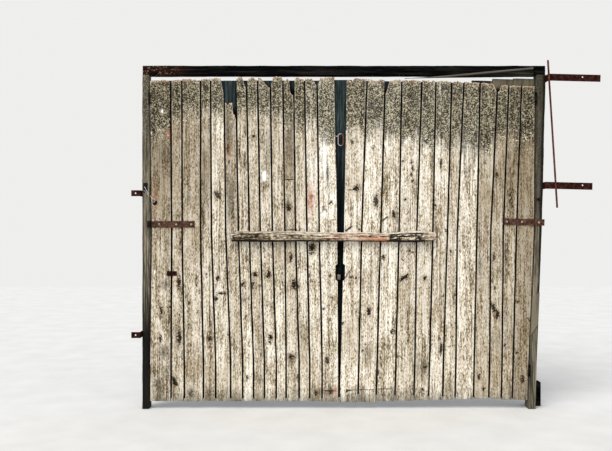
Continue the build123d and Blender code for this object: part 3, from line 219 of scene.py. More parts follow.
def drift(x, z, seed):
    """Smooth noise from -1 to 1: four neighbouring lattice values blended with S-curves."""
    x, z = np.broadcast_arrays(np.asarray(x, float), np.asarray(z, float))
    ix, iz = np.floor(x), np.floor(z)
    fx, fz = x - ix, z - iz
    sx, sz = fx * fx * (3 - 2 * fx), fz * fz * (3 - 2 * fz)
    low = lattice(ix, iz, seed) * (1 - sx) + lattice(ix + 1, iz, seed) * sx
    high = lattice(ix, iz + 1, seed) * (1 - sx) + lattice(ix + 1, iz + 1, seed) * sx
    return (low * (1 - sz) + high * sz) * 2 - 1


# Meshes

POINT_DIGITS = 5               # CAD points that agree to so many digits of a metre are one
FORWARDS, SAME_PLANE = 0.99, 1e-4              # how squarely a front triangle faces, how far back it may lie
LEAST_RISE = 1e-6              # an edge that rises less doesn't cross a level


def make_piece(name, points, faces, body, finish, attributes=None):
    """One smooth-shaded mesh, placed where its points lie, riding on a body, with its attributes."""
    mesh = bpy.data.meshes.new(name)
    mesh.from_pydata(points.reshape(-1, 3).tolist(), [], [face for part in faces for face in part.tolist()])
    mesh.polygons.foreach_set("use_smooth", np.ones(len(mesh.polygons), bool))
    for key, values in (attributes or {}).items():
        layer = mesh.attributes.new(key, "FLOAT_VECTOR", "POINT")
        layer.data.foreach_set("vector", values.reshape(-1).astype(np.float32))
    mesh.materials.append(finish)
    mesh.update()
    piece = bpy.data.objects.new(name, mesh)
    bpy.context.scene.collection.objects.link(piece)
    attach(piece, body)
    return piece


def tube_faces(rows, around, flip=False):
    """Quads of a grid that closes on itself around: each joins a point, the next one, and both above."""
    r, c = np.meshgrid(np.arange(rows - 1), np.arange(around), indexing="ij")
    n = (c + 1) % around
    quads = np.stack([r * around + c, r * around + n, (r + 1) * around + n, (r + 1) * around + c], -1)
    quads = quads.reshape(-1, 4)
    return quads[:, ::-1] if flip else quads


def cap_faces(first, columns, flip=False):
    """Quads across the end of a flattened tube, from each front point to the back point behind it."""
    c = np.arange(columns - 1)
    back = 2 * columns - 1
    quads = np.stack([first + c, first + back - c, first + back - c - 1, first + c + 1], -1)
    return quads[:, ::-1] if flip else quads


def mesh_points(mesh):
    """The points of a mesh, one in each row."""
    points = np.empty(len(mesh.vertices) * 3)
    mesh.vertices.foreach_get("co", points)
    return points.reshape(-1, 3)


def joined(count, triangles):
    """One number for each point, the same for all points that triangles join to each other."""
    labels = np.arange(count)
    while True:
        spread = labels.copy()
        np.minimum.at(spread, triangles.reshape(-1), np.repeat(labels[triangles].min(1), 3))
        if (spread == labels).all():
            return labels
        labels = spread


def front_outlines(node):
    """Edges round each front face of a CAD node, as (start, end) points in X and Z, and the faces' Y.

    They are the edges that only one of the triangles facing forwards has. The faces run left to right."""
    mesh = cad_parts[node].data
    mesh.calc_loop_triangles()
    corners = np.empty(len(mesh.loop_triangles) * 3, int)
    mesh.loop_triangles.foreach_get("vertices", corners)
    kept, merged = np.unique(np.round(mesh_points(mesh), POINT_DIGITS), axis=0, return_inverse=True)
    triangles = merged.reshape(-1)[corners].reshape(-1, 3)
    a, b, c = (kept[triangles[:, k]] for k in range(3))
    normal = np.cross(b - a, c - a)
    facing = normal[:, 1] < -FORWARDS * np.linalg.norm(normal, axis=1)
    front = a[facing, 1].min()
    facing &= a[:, 1] < front + SAME_PLANE
    triangles = triangles[facing]
    sides = np.sort(np.concatenate([triangles[:, k] for k in ([0, 1], [1, 2], [2, 0])]), axis=1)
    lone, counts = np.unique(sides, axis=0, return_counts=True)
    lone = lone[counts == 1]
    owner = joined(len(kept), triangles)[lone[:, 0]]
    outlines = [(kept[lone[owner == which, 0]][:, [0, 2]], kept[lone[owner == which, 1]][:, [0, 2]])
                for which in np.unique(owner)]
    return sorted(outlines, key=lambda pair: pair[0][:, 0].mean()), front


def crossings(a, b, along, levels):
    """Lowest and highest place across at which a boundary crosses each level of the along axis."""
    across = 1 - along
    rise = b[:, along] - a[:, along]
    steep = np.abs(rise) > LEAST_RISE
    a, b, rise = a[steep], b[steep], rise[steep]
    share = (levels[:, None] - a[:, along]) / rise
    where = a[:, across] + share * (b - a)[:, across]
    met = (share >= 0) & (share <= 1)
    return np.where(met, where, np.inf).min(1), np.where(met, where, -np.inf).max(1)


def extended(levels, known, values):
    """Straight-line reading of a curve, continued straight beyond its two ends."""
    inside = np.interp(levels, known, values)
    start = (values[1] - values[0]) / (known[1] - known[0])
    end = (values[-1] - values[-2]) / (known[-1] - known[-2])
    inside = np.where(levels < known[0], values[0] + (levels - known[0]) * start, inside)
    return np.where(levels > known[-1], values[-1] + (levels - known[-1]) * end, inside)


def column_shares(width):
    """Shares of a width at which a timber has its points: close together at both edges."""
    edge = np.array(COLUMN_EDGES)
    inner = np.linspace(edge[-1], width - edge[-1], COLUMN_COUNT - 2 * len(edge) + 2)[1:-1]
    return np.concatenate([edge, inner, width - edge[::-1]]) / width


def splinters(across, seed):
    """How far the splinters of a broken end reach: coarse and fine noise, both without their sign."""
    return 1.2 * np.abs(drift(across * 65, 0.5, seed)) + 0.8 * np.abs(drift(across * 210, 0.5, seed + 9))


def edge_wave(levels, side, wear, seed):
    """How far a long edge is drawn in at each level: slow and quick noise along it."""
    return WAVE * wear * (1 + 0.7 * drift(levels * 7, side, seed) + 0.3 * drift(levels * 33, side, seed + 1))


def there_and_back(front, back):
    """Rows that run across a front and return across the back."""
    return np.concatenate([front, back[:, ::-1]], axis=1)


def timber_surface(outline, front, back, seed, vertical=True, ragged=(1.0, 0.2), wear=1.0, tones=(1, 1),
                   lichen_row=None, marks=True, laps=(0, 0), sound=SOUND_SHARES):
    """Points, faces and attributes of sawn timber that follows an outline, closed all round.

    Across runs from edge to edge and along from end to end. Its two long edges are the outline's,
    drawn in by smooth waves; its ends are the outline's end lines, drawn in by splinters. The face lies
    back by cupping, which grows with the square of the distance from the middle, by ridges of
    stretched noise, and by a quarter circle at each edge. The back is flat."""
    a, b = outline
    along = 1 if vertical else 0
    start, end = np.concatenate([a, b])[:, along].min(), np.concatenate([a, b])[:, along].max()
    length = end - start
    known = np.linspace(start + sound[0] * length, start + sound[1] * length, int(length / LEVEL_STEP))
    left_edge, right_edge = crossings(a, b, along, known)
    width = float(np.median(right_edge - left_edge)) + sum(laps)
    shares = column_shares(width)

    def across_at(levels, share, wider=laps):
        """Place across at a level and a share of the width, counted with what the edges are widened by."""
        left = extended(levels, known, left_edge) - wider[0]
        right = extended(levels, known, right_edge) + wider[1]
        return left + share * (right - left)

    ends = []
    for level, which in ((start, 0), (end, 1)):
        samples = across_at(np.array(level), np.linspace(*END_SHARES, END_SAMPLES), (0, 0))
        line = crossings(a, b, 1 - along, samples)[which]
        met = np.isfinite(line)
        level = np.full(len(shares), level)
        for _ in range(END_TRIES):
            level = np.interp(across_at(level, shares), samples[met], line[met])
        ends.append(level)
    fine = shares * width
    foot = ends[0] + splinters(fine, seed + 5) * SPLINTER * ragged[1]
    top = ends[1] - splinters(fine, seed + 3) * SPLINTER * ragged[0]
    body_start, body_end = foot.max() + END_ZONE, top.min() - END_ZONE
    step = np.linspace(0, 1, END_ROWS)[:, None]
    middle = np.linspace(body_start, body_end, max(4, int((body_end - body_start) / ROW_STEP)))
    levels = np.concatenate([foot + step[:-1] * (body_start - foot), middle[:, None] + 0 * foot,
                             body_end + step[1:] * (top - body_end)])
    share = shares[None, :] + 0 * levels
    drawn_in = edge_wave(levels, 0, wear, seed) * (1 - share) - edge_wave(levels, 4, wear, seed) * share
    place_across = across_at(levels, share) + drawn_in
    from_edge = np.minimum(share, 1 - share) * width
    turn = np.clip(EDGE_ROUND - from_edge, 0, EDGE_ROUND)
    rounding = EDGE_ROUND - np.sqrt(EDGE_ROUND ** 2 - turn ** 2)
    sign = 1 if seed % 2 else -1
    cup = CUP * wear * (0.5 + sign * ((2 * share - 1) ** 2 - 0.5))
    ridges = RIDGE * wear * (1 + 0.6 * drift(fine * 190, levels * 2.2, seed + 2)
                             + 0.4 * drift(fine * 420, levels * 5, seed + 6))
    depth_front = front + rounding + cup + ridges
    depth_back = back - rounding * 0.5
    ring_across = there_and_back(place_across, place_across)
    ring_along = there_and_back(levels, levels)
    ring_depth = there_and_back(depth_front, depth_back)
    parts = (ring_across, ring_depth, ring_along) if vertical else (ring_along, ring_depth, ring_across)
    points = np.stack(parts, -1).reshape(-1, 3)
    rows, around = levels.shape[0], 2 * len(shares)
    faces = (tube_faces(rows, around, not vertical), cap_faces(0, len(shares), not vertical),
             cap_faces((rows - 1) * around, len(shares), vertical))
    attributes = weathering(points, ring_along.reshape(-1), ring_across.reshape(-1), seed, tones, lichen_row,
                            marks)
    broken = top - levels if vertical else (1 - share) * (across_at(levels, 1) - across_at(levels, 0))
    broken = np.maximum(broken, 0)
    arris = np.exp(-from_edge / ARRIS)
    # Edge layers: nearness to a long edge (for the painted highlight and painted shade there), the share
    # towards the back (painted shade on the sides and backs), and nearness to the broken top
    layers = (there_and_back(arris, 0 * arris if marks else arris), there_and_back(0 * arris, 1 + 0 * arris),
              np.exp(-there_and_back(broken, broken) / FRESH_DEPTH))
    attributes["edge"] = np.stack([layer.reshape(-1) for layer in layers], 1)
    return points, faces, attributes


def timber(node, body, finish, slot, seed, **form):
    """One sawn timber in place of a CAD node."""
    outlines, front = front_outlines(node)
    points, faces, attributes = timber_surface(outlines[0], front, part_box(node)[1][1], seed, **form)
    piece = make_piece(node + "_worn", points, faces, body, finish, attributes)
    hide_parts(node)
    return piece


def inner_boards(node, body, seed):
    """The inner boards of a leaf as one piece, each widened towards its neighbours so that they meet.

    Their front faces are painted black as shade as far as the outer boards cover them, apart from the broken
    board's hole, and those of the last ones are left bare and tan at the top."""
    outlines, front = front_outlines(node)
    points, faces, attributes, count = [], [], [], 0
    for index, outline in enumerate(outlines):
        laps = (LINING_LAP * (index > 0), LINING_LAP * (index < len(outlines) - 1))
        own, quads, layers = timber_surface(outline, front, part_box(node)[1][1], seed + index, marks=False,
                                            wear=0.8, ragged=(0.1, 0.1), laps=laps, sound=LINING_SHARES)
        column = column_of(own[:, 0])
        row = GROUND_PIXEL - own[:, 2] / METRES_PER_PIXEL
        open_above = rise_over(row, BARE_ROW, -BARE_FADE)
        hole = rise_over(np.abs(column - HOLE_COLUMN), HOLE_HALF, -HOLE_SIDE_FADE)
        hole = hole * rise_over(row, HOLE_ROW, -HOLE_FADE)
        at_front = 1 - layers["edge"][:, 1]
        # Painted shade: black on the front faces that the outer boards cover
        layers["weather"][:, 1] = at_front * (1 - np.maximum(open_above, hole))
        layers["weather"][:, 2] = at_front * rise_over(column, TAN_COLUMN, TAN_FADE) * open_above
        points.append(own)
        faces += [part + count for part in quads]
        attributes.append(layers)
        count += len(own)
    attributes = {key: np.concatenate([layers[key] for layers in attributes]) for key in attributes[0]}
    piece = make_piece(node + "_worn", np.concatenate(points), faces, body, LINING, attributes)
    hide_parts(node)
    return piece


def ellipses(points, marks):
    """Distance of every point from each mark's centre, in its own half sizes, and the strengths."""
    table = np.array(marks)
    x, z = place(table[:, 0], table[:, 1])
    half = table[:, 2:4] * METRES_PER_PIXEL
    inside = (x > points[:, 0].min()) & (x < points[:, 0].max())
    x, z, half, strength = x[inside], z[inside], half[inside], table[inside, 4]
    dx, dz = points[:, 0, None] - x, points[:, 2, None] - z
    return dx, np.hypot(dx / half[:, 0], dz / half[:, 1]), strength


def own_marks(points, marks):
    """Those marks of a table whose centre lies within the board at their own height."""
    kept = []
    for mark in marks:
        x, z = place(mark[0], mark[1])
        row = points[np.abs(points[:, 2] - z) < ROW_STEP, 0]
        if len(row) and row.min() - EDGE_SLACK < x < row.max() + EDGE_SLACK:
            kept.append(mark)
    return kept


def seam_distance(points):
    """Signed distance from the crack that runs inside this board, and its strength along it."""
    for line, strength in SEAMS:
        x, z = np.array([place(*pixel) for pixel in line[::-1]]).T
        row = points[np.abs(points[:, 2] - z.mean()) < ROW_STEP, 0]
        if len(row) and row.min() < np.interp(z.mean(), z, x) < row.max():
            wander = 0.0018 * drift(points[:, 2] * 11, 0, 5) + 0.0008 * drift(points[:, 2] * 47, 0, 6)
            away = points[:, 0] - np.interp(points[:, 2], z, x) + wander
            ends = np.minimum(points[:, 2] - z[0], z[-1] - points[:, 2])
            return away, strength * rise_over(ends, 0, CRACK_END)
    return np.ones(len(points)), np.zeros(len(points))


def crack_distance(points, cracks):
    """Distance of every point from each crack's line between its two ends, in its own half width."""
    table = np.array(cracks)
    x0, z0 = place(table[:, 0], table[:, 1])
    x1, z1 = place(table[:, 2], table[:, 3])
    run_x, run_z = x1 - x0, z1 - z0
    share = (points[:, 0, None] - x0) * run_x + (points[:, 2, None] - z0) * run_z
    share = np.clip(share / (run_x ** 2 + run_z ** 2), 0, 1)
    away = np.hypot(points[:, 0, None] - x0 - share * run_x, points[:, 2, None] - z0 - share * run_z)
    return away / (table[:, 4] * METRES_PER_PIXEL)


def weathering(points, along, across, seed, tones, lichen_row, with_marks):
    """What the weather did at every point: the run of the grain, knots, rust, lichen, stains, cracks.

    The grain's place across is drawn towards each knot by a bell curve of the distance from it."""
    count = len(points)
    grain = np.stack([across, np.full(count, seed * GRAIN_STEP[0]), along + seed * GRAIN_STEP[1]], 1)
    marks = np.stack([np.full(count, NO_KNOT), np.zeros(count), np.zeros(count)], 1)
    weather = np.zeros((count, 3))
    share = rise_over(points[:, 2], BEND_FIRST, BEND_LAST - BEND_FIRST)
    seam = np.stack([np.ones(count), np.zeros(count), tones[1] + share * (tones[0] - tones[1])], 1)
    if with_marks:
        knots = own_marks(points, KNOTS)
        if knots:
            dx, distance, strength = ellipses(points, knots)
            grain[:, 0] -= (KNOT_DRAW * dx * np.exp(-(distance / KNOT_REACH) ** 2)).sum(1)
            marks[:, 0] = np.minimum(distance.min(1), NO_KNOT)
            marks[:, 1] = strength[distance.argmin(1)]
        cracks = [crack for crack in SLASHES
                  if own_marks(points, [((crack[0] + crack[2]) / 2, (crack[1] + crack[3]) / 2)])]
        if cracks:
            distance = crack_distance(points, cracks)
            nearer = distance.min(1) < marks[:, 0]
            marks[:, 0] = np.minimum(distance.min(1), marks[:, 0])
            marks[:, 1] = np.where(nearer, np.array(cracks)[distance.argmin(1), 5], marks[:, 1])
        for table, column, layer in ((RUSTY, 2, marks), (STAINS, 1, weather), (WHITE, 2, weather)):
            own = own_marks(points, table)
            if own:
                _, distance, strength = ellipses(points, own)
                layer[:, column] = (strength * np.exp(-distance ** 2)).max(1)
        seam[:, 0], seam[:, 1] = seam_distance(points)
        for column, row, tone in own_marks(points, JOINTS):
            seam[points[:, 2] > place(column, row)[1], 2] *= tone
    if lichen_row is not None:
        limit = place(0, lichen_row)[1]
        weather[:, 0] = np.clip((points[:, 2] - limit) / LICHEN_FADE + 0.5, 0, 1)
    return {"grain": grain, "marks": marks, "weather": weather, "seam": seam}


# Materials

class Finish:
    """A procedural material, with short calls for the nodes that are used here."""

    def __init__(self, name, roughness=0.9, specular=0.2, metallic=0.0):
        self.material = bpy.data.materials.new(name)
        self.material.use_nodes = True
        self.tree = self.material.node_tree
        self.shader = self.tree.nodes["Principled BSDF"]
        self.shader.inputs["Roughness"].default_value = roughness
        self.shader.inputs["Specular IOR Level"].default_value = specular
        self.shader.inputs["Metallic"].default_value = metallic
        self.coords = self.node("ShaderNodeTexCoord").outputs["Object"]

    def node(self, kind, inputs=None, **settings):
        """One node, with its settings, and its sockets given a value or a link."""
        made = self.tree.nodes.new(kind)
        for key, value in settings.items():
            setattr(made, key, value)
        for key, value in (inputs or {}).items():
            if isinstance(value, bpy.types.NodeSocket):
                self.tree.links.new(value, made.inputs[key])
            else:
                made.inputs[key].default_value = value
        return made

    def attribute(self, name):
        """The three values of one of the mesh's attributes."""
        return self.parts(self.node("ShaderNodeAttribute", attribute_name=name).outputs["Vector"])

    def parts(self, vector):
        """The three values of a vector."""
        return self.node("ShaderNodeSeparateXYZ", {0: vector}).outputs

    def scaled(self, vector, scale):
        """A vector times a scale of its own along each axis."""
        return self.node("ShaderNodeMapping", {"Vector": vector, "Scale": scale}).outputs[0]

    def noise(self, vector, scale=1.0, detail=2.0, roughness=0.5, distortion=0.0):
        """Smooth noise from 0 to 1, with finer noise added to it by its detail and roughness."""
        settings = {"Vector": vector, "Scale": scale, "Detail": detail, "Roughness": roughness,
                    "Distortion": distortion}
        return self.node("ShaderNodeTexNoise", settings).outputs[0]

    def streaks(self, vector, scale, detail=2.0, roughness=0.5, distortion=0.0):
        """Noise with a scale of its own along each axis."""
        return self.noise(self.scaled(vector, scale), 1.0, detail, roughness, distortion)

    def scatter(self, vector, scale):
        """Cells of a size along each axis: the distance from a cell's middle, and a random value for it."""
        cells = self.node("ShaderNodeTexVoronoi", {"Vector": self.scaled(vector, scale), "Scale": 1.0})
        colour = self.node("ShaderNodeSeparateColor", {0: cells.outputs["Color"]})
        return cells.outputs["Distance"], colour.outputs[0]

    def math(self, operation, a, b=0.0, c=0.0, clamp=False):
        """One sum of up to three values, held within 0 and 1 where it is clamped."""
        return self.node("ShaderNodeMath", {0: a, 1: b, 2: c}, operation=operation,
                         use_clamp=clamp).outputs[0]

    def times(self, a, b, clamp=False):
        """a times b."""
        return self.math("MULTIPLY", a, b, clamp=clamp)

    def times_plus(self, a, b, c):
        """a times b, plus c."""
        return self.math("MULTIPLY_ADD", a, b, c)

    def minus(self, a, b):
        """a less b."""
        return self.math("SUBTRACT", a, b)

    def unsigned(self, a):
        """a without its sign."""
        return self.math("ABSOLUTE", a)

    def span(self, value, low, high, to_low=0.0, to_high=1.0):
        """A value carried from one range to another, held within it."""
        return self.node("ShaderNodeMapRange", {"Value": value, "From Min": low, "From Max": high,
                                                "To Min": to_low, "To Max": to_high}).outputs[0]

    def total(self, parts, base=0.5):
        """base plus each noise's swing round its middle, times its gain."""
        value = base
        for noise, gain in parts:
            value = self.times_plus(noise, gain, self.minus(value, gain / 2))
        return value

    def checks(self, vector, scale, detail, width, where):
        """Drying cracks: thin lines along which stretched noise passes its middle."""
        away = self.unsigned(self.minus(self.streaks(vector, scale, detail), 0.5))
        return self.times(self.span(away, 0.0, width, 1, 0), where)

    def ramp(self, value, stops):
        """A value as a colour, read straight between the stops' colours."""
        made = self.node("ShaderNodeValToRGB", {0: value})
        elements = made.color_ramp.elements
        while len(elements) < len(stops):
            elements.new(0.5)
        for element, (where, colour) in zip(elements, stops):
            element.position = where
            element.color = (*colour, 1)
        return made.outputs[0]

    def mix(self, factor, a, b, blend="MIX"):
        """Two colours blended: a times (1 less the factor), plus b times the factor."""
        pairs = {0: factor}
        for key, value in ((6, a), (7, b)):
            pairs[key] = value if isinstance(value, bpy.types.NodeSocket) else (*value, 1)
        return self.node("ShaderNodeMix", pairs, data_type="RGBA", blend_type=blend).outputs[2]

    def over(self, below, above, amount, strength=None):
        """One colour laid over another by an amount, times a strength where there is one."""
        return self.mix(amount if strength is None else self.times(amount, strength), below, above)

    def bump(self, height, distance):
        """Light falls as on a relief of this height, a distance deep."""
        made = self.node("ShaderNodeBump", {"Height": height, "Distance": distance, "Strength": 1.0})
        self.tree.links.new(made.outputs[0], self.shader.inputs["Normal"])

    def paint(self, colour, roughness=None):
        """The colour of the surface, and its roughness where that varies."""
        self.tree.links.new(colour, self.shader.inputs["Base Color"])
        if roughness is not None:
            self.tree.links.new(roughness, self.shader.inputs["Roughness"])


# Finish of the outer boards, from bare fibre to the marks on top of it

FIBRE_COLOURS = [(0.05, (0.048, 0.034, 0.018)), (0.27, (0.21, 0.160, 0.094)), (0.47, (0.47, 0.385, 0.268)),
                 (0.64, (0.66, 0.580, 0.450)), (0.88, (0.87, 0.815, 0.710))]
LICHEN_COLOURS = [(0.08, (0.008, 0.007, 0.004)), (0.36, (0.051, 0.044, 0.0245)),
                  (0.60, (0.150, 0.128, 0.075)), (0.92, (0.485, 0.43, 0.298))]
BROKEN_COLOURS = [(0.44, (0.86, 0.76, 0.60)), (0.60, (0.62, 0.29, 0.14))]


def board_noises(f, grain):
    """The noises that a board's colours and relief share, along its own grain."""
    return {
        "fine": f.streaks(grain, (420, 1, 10), 3, 0.6),
        "medium": f.streaks(grain, (120, 1, 2.6), 2, 0.55),
        "short": f.streaks(grain, (150, 1, 42), 3, 0.7),
        "broad": f.streaks(grain, (24, 1, 0.9)),
        "blotch": f.streaks(grain, (15, 1, 5), 3, 0.6),
        "flecks": f.scatter(grain, (140, 1, 62))[1],
        "spiky": f.streaks(grain, (190, 1, 70), 3, 0.7),
        "runs": f.streaks(grain, (48, 1, 5), 3),
        "dots": f.scatter(grain, (125, 1, 115))[1],
        "speckle": f.noise(grain, 98, 3, 0.7),
        "spots": f.noise(grain, 165, 2, 0.7),
        "patches": f.noise(grain, 13, 3, 0.6),
        "clumps": f.noise(grain, 44, 2, 0.6),
    }


def weighed(noises, **each):
    """Pairs of a noise and its gain, by the noises' names."""
    return [(noises[name], gain) for name, gain in each.items()]


def board_tint(f, tone):
    """A board's tone as a colour, browner where it is darker."""
    channels = {0: tone, 1: f.math("POWER", tone, 1.12), 2: f.math("POWER", tone, 1.32)}
    return f.node("ShaderNodeCombineXYZ", channels).outputs[0]


def board_fibre(f, grain, noises, tint):
    """Silver-grey fibre, tan in broad patches, and the drying cracks and dark specks in it."""
    parts = weighed(noises, fine=0.8, medium=1.25, short=1.85, broad=0.6, blotch=1.0, flecks=0.36)
    value = f.total(parts, 0.57)
    wood = f.mix(1.0, f.ramp(value, FIBRE_COLOURS), tint, "MULTIPLY")
    wood = f.over(wood, (0.36, 0.27, 0.165), f.span(f.noise(grain, 2.1), 0.50, 0.72, 0, 0.40))
    where = f.span(f.streaks(grain, (20, 1, 2.2)), 0.52, 0.66)
    check = f.checks(grain, (95, 1, 1.4), 1.5, 0.014, where)
    wood = f.over(wood, (0.085, 0.065, 0.04), check, 0.75)
    away, chosen = f.scatter(grain, (52, 1, 30))
    speck = f.times(f.span(away, 0.26, 0.16), f.span(chosen, 0.80, 0.82))
    return f.over(wood, (0.06, 0.042, 0.028), speck, 0.8), check


def board_stains(f, grain, noises, stain, wood):
    """Dark stains, and the damp foot of every board."""
    damp = f.times_plus(noises["blotch"], 0.30, f.minus(f.parts(f.coords)[2], 0.15))
    stained = f.times(stain, f.span(f.noise(grain, 55, 3), 0.3, 0.6, 0.8, 1.9), clamp=True)
    stained = f.math("MAXIMUM", stained, f.span(damp, 0.20, 0.03, 0, 0.78))
    return f.over(wood, (0.085, 0.072, 0.048), stained)


def board_knots(f, grain, noises, knot, strength, wood):
    """Knots and cracks: a brown halo round an almost black core, both with ragged edges."""
    ragged = f.total([(f.noise(grain, 110, 3), 3.4), (noises["spiky"], 2.2)], knot)
    halo = f.times(f.span(ragged, 2.4, 1.1, 0, 0.62), strength)
    core = f.times(f.span(ragged, 1.15, 0.92), f.math("POWER", strength, 0.2))
    return f.over(f.over(wood, (0.19, 0.125, 0.062), halo), (0.010, 0.006, 0.003), core), core


def board_lichen(f, noises, lichen, tint, wood):
    """Lichen in dark and pale grains, which thins out downwards in ragged runs."""
    base = f.span(f.parts(f.coords)[0], 1.5, 1.9, 0.39, 0.325)
    grains = weighed(noises, speckle=2.0, spots=2.4, clumps=0.9, dots=1.5, patches=1.4, medium=0.6)
    crust = f.mix(0.3, f.ramp(f.total(grains, base), LICHEN_COLOURS), tint, "MULTIPLY")
    edge = f.math("ADD", lichen, f.total(weighed(noises, speckle=0.9, runs=1.4, patches=1.0), 0.0))
    covered = f.span(edge, 0.36, 0.80, 0, 0.94)
    return f.over(wood, crust, covered), covered


def board_rust(f, grain, noises, rust, lichen, skin):
    """Rust-red marks, and pale grains where the lichen thins out."""
    red = f.times(rust, f.span(f.noise(grain, 70, 4), 0.25, 0.6, 0.3, 1.25), clamp=True)
    skin = f.over(skin, (0.40, 0.155, 0.09), red)
    thinning = f.minus(1.0, f.unsigned(f.times_plus(lichen, 2.0, -1.0)))
    glint = f.times(f.span(noises["dots"], 0.90, 0.93), f.times(thinning, 0.9), clamp=True)
    return f.over(skin, (0.80, 0.74, 0.60), glint)


def board_bleach(f, noises, white, skin):
    """Bleached patches: soft along the fibre, and crisp in their middle."""
    soft = f.times(white, f.span(noises["short"], 0.32, 0.48, 0, 0.65))
    crisp = f.times_plus(noises["medium"], 0.8, f.times_plus(noises["spiky"], 0.6, white))
    crisp = f.times(f.span(crisp, 1.04, 1.16), f.span(white, 0.06, 0.16))
    return f.over(skin, (0.94, 0.91, 0.85), f.math("MAXIMUM", soft, crisp))


def board_edges(f, grain, noises, broken_top_and_highlight, arris, skin):
    """Pale and rusty broken wood at the top, partly a painted highlight, and a dark line of painted shade
    along each long edge.
    """
    broken = f.ramp(f.noise(grain, 60, 2), BROKEN_COLOURS)
    # Partly painted highlight: pale broken wood along the top edge
    skin = f.over(skin, broken, broken_top_and_highlight, f.span(noises["spots"], 0.36, 0.56, 0, 0.95))
    # Painted shade: a dark line along each long edge, beside the gaps
    return f.over(skin, (0.016, 0.012, 0.008), f.span(arris, 0.43, 0.59, 0, 0.95))


def weathered_board():
    """Silver-grey pine: fine straight fibre, checks, knots, specks, rust, stains and a lichened top."""
    f = Finish("weathered_board", 0.9, 0.12)
    grain = f.node("ShaderNodeAttribute", attribute_name="grain").outputs["Vector"]
    knot, knot_strength, rust = f.attribute("marks")
    lichen, stain, white = f.attribute("weather")
    seam, seam_strength, tone = f.attribute("seam")
    arris, sides_and_back_shade, broken_top_and_highlight = f.attribute("edge")
    noises = board_noises(f, grain)
    tint = board_tint(f, tone)
    wood, check = board_fibre(f, grain, noises, tint)
    wood = board_stains(f, grain, noises, stain, wood)
    wood, core = board_knots(f, grain, noises, knot, knot_strength, wood)
    seam_line = f.times(f.span(f.unsigned(seam), 0.0012, 0.003, 1, 0), seam_strength)
    wood = f.over(wood, (0.05, 0.04, 0.028), seam_line)
    skin, covered = board_lichen(f, noises, lichen, tint, wood)
    skin = board_rust(f, grain, noises, rust, lichen, skin)
    # Painted highlight: a pale line just in from each long edge
    skin = f.over(skin, (0.74, 0.67, 0.54), arris, f.span(noises["medium"], 0.35, 0.6, 0, 0.7))
    skin = board_bleach(f, noises, white, skin)
    skin = board_edges(f, grain, noises, broken_top_and_highlight, arris, skin)
    # Painted shade: the sides and backs of the boards, down in the gaps, are near-black
    f.paint(f.over(skin, (0.010, 0.008, 0.006), f.span(sides_and_back_shade, 0.0, 0.35, 0, 0.94)))
    height = f.total(weighed(noises, fine=0.4, medium=0.7, short=0.5, flecks=0.2), 0.5)
    for hollow, depth in ((check, 0.9), (seam_line, 1.2), (core, 0.6)):
        height = f.minus(height, f.times(hollow, depth))
    f.bump(f.times_plus(f.times(noises["speckle"], covered), 0.8, height), 0.0022)
    return f.material


# Other finishes

def old_timber(name, colours, axis, gains=(0.8, 0.9, 0.6), stain=None, specular=0.15):
    """Old sawn timber with its grain along X or Z: streaks at three widths and grey blotches."""
    f = Finish(name, 0.9, specular)
    stretch = {"x": lambda c, l: (l, c, c), "z": lambda c, l: (c, c, l)}[axis]
    fine = f.streaks(f.coords, stretch(420, 14), 3, 0.6)
    medium = f.streaks(f.coords, stretch(110, 3.4), 3, 0.6)
    broad = f.streaks(f.coords, stretch(26, 2.4), 4, 0.6)
    value = f.total(zip((fine, medium, broad), gains), 0.5)
    wood = f.ramp(value, list(zip((0.15, 0.5, 0.85), colours)))
    check = f.checks(f.coords, stretch(70, 1.3), 1.5, 0.016, f.span(broad, 0.45, 0.6))
    wood = f.over(wood, tuple(v * 0.3 for v in colours[0]), check, 0.8)
    # The stain adds the timber's own marks, and for some timbers painted shade and painted highlights as
    # well
    if stain:
        wood = stain(f, wood, broad)
    f.paint(wood)
    f.bump(f.minus(f.total([(fine, 0.5), (medium, 0.9)], 0.5), check), 0.002)
    return f.material


def rusted(name, colours, roughness=0.85, metallic=0.15, scale=1.0, specular=0.3, stain=None):
    """Rusted iron: flaking crust in patches, pitting, and paler dust on it."""
    f = Finish(name, roughness, specular, metallic)
    patches = f.noise(f.coords, 38 * scale, 5, 0.65, 0.4)
    grit = f.noise(f.coords, 330 * scale, 4, 0.7)
    pits = f.node("ShaderNodeTexVoronoi", {"Vector": f.coords, "Scale": 160 * scale}).outputs["Distance"]
    iron = f.ramp(f.total([(patches, 1.5), (grit, 0.9)], 0.5), list(zip((0.2, 0.5, 0.85), colours)))
    iron = f.over(iron, tuple(v * 0.35 for v in colours[0]), f.span(pits, 0.25, 0.05, 0, 0.6))
    # The stain adds painted shade on some irons
    if stain:
        iron = stain(f, iron)
    f.paint(iron, f.span(patches, 0.3, 0.7, roughness - 0.2, min(1.0, roughness + 0.1)))
    f.bump(f.total([(patches, 0.8), (grit, 0.5), (pits, 0.5)], 0.5), 0.0012)
    return f.material


def bare_metal(name, colours, roughness, metallic):
    """Worn bare metal with brown tarnish in the hollows."""
    f = Finish(name, roughness, 0.5, metallic)
    wear = f.noise(f.coords, 70, 4, 0.6, 0.3)
    grit = f.noise(f.coords, 420, 3, 0.6)
    f.paint(f.ramp(f.total([(wear, 1.4), (grit, 0.8)], 0.5), list(zip((0.25, 0.75), colours))),
            f.span(wear, 0.3, 0.7, min(1.0, roughness + 0.25), roughness))
    f.bump(f.total([(wear, 0.6), (grit, 0.6)], 0.5), 0.0006)
    return f.material


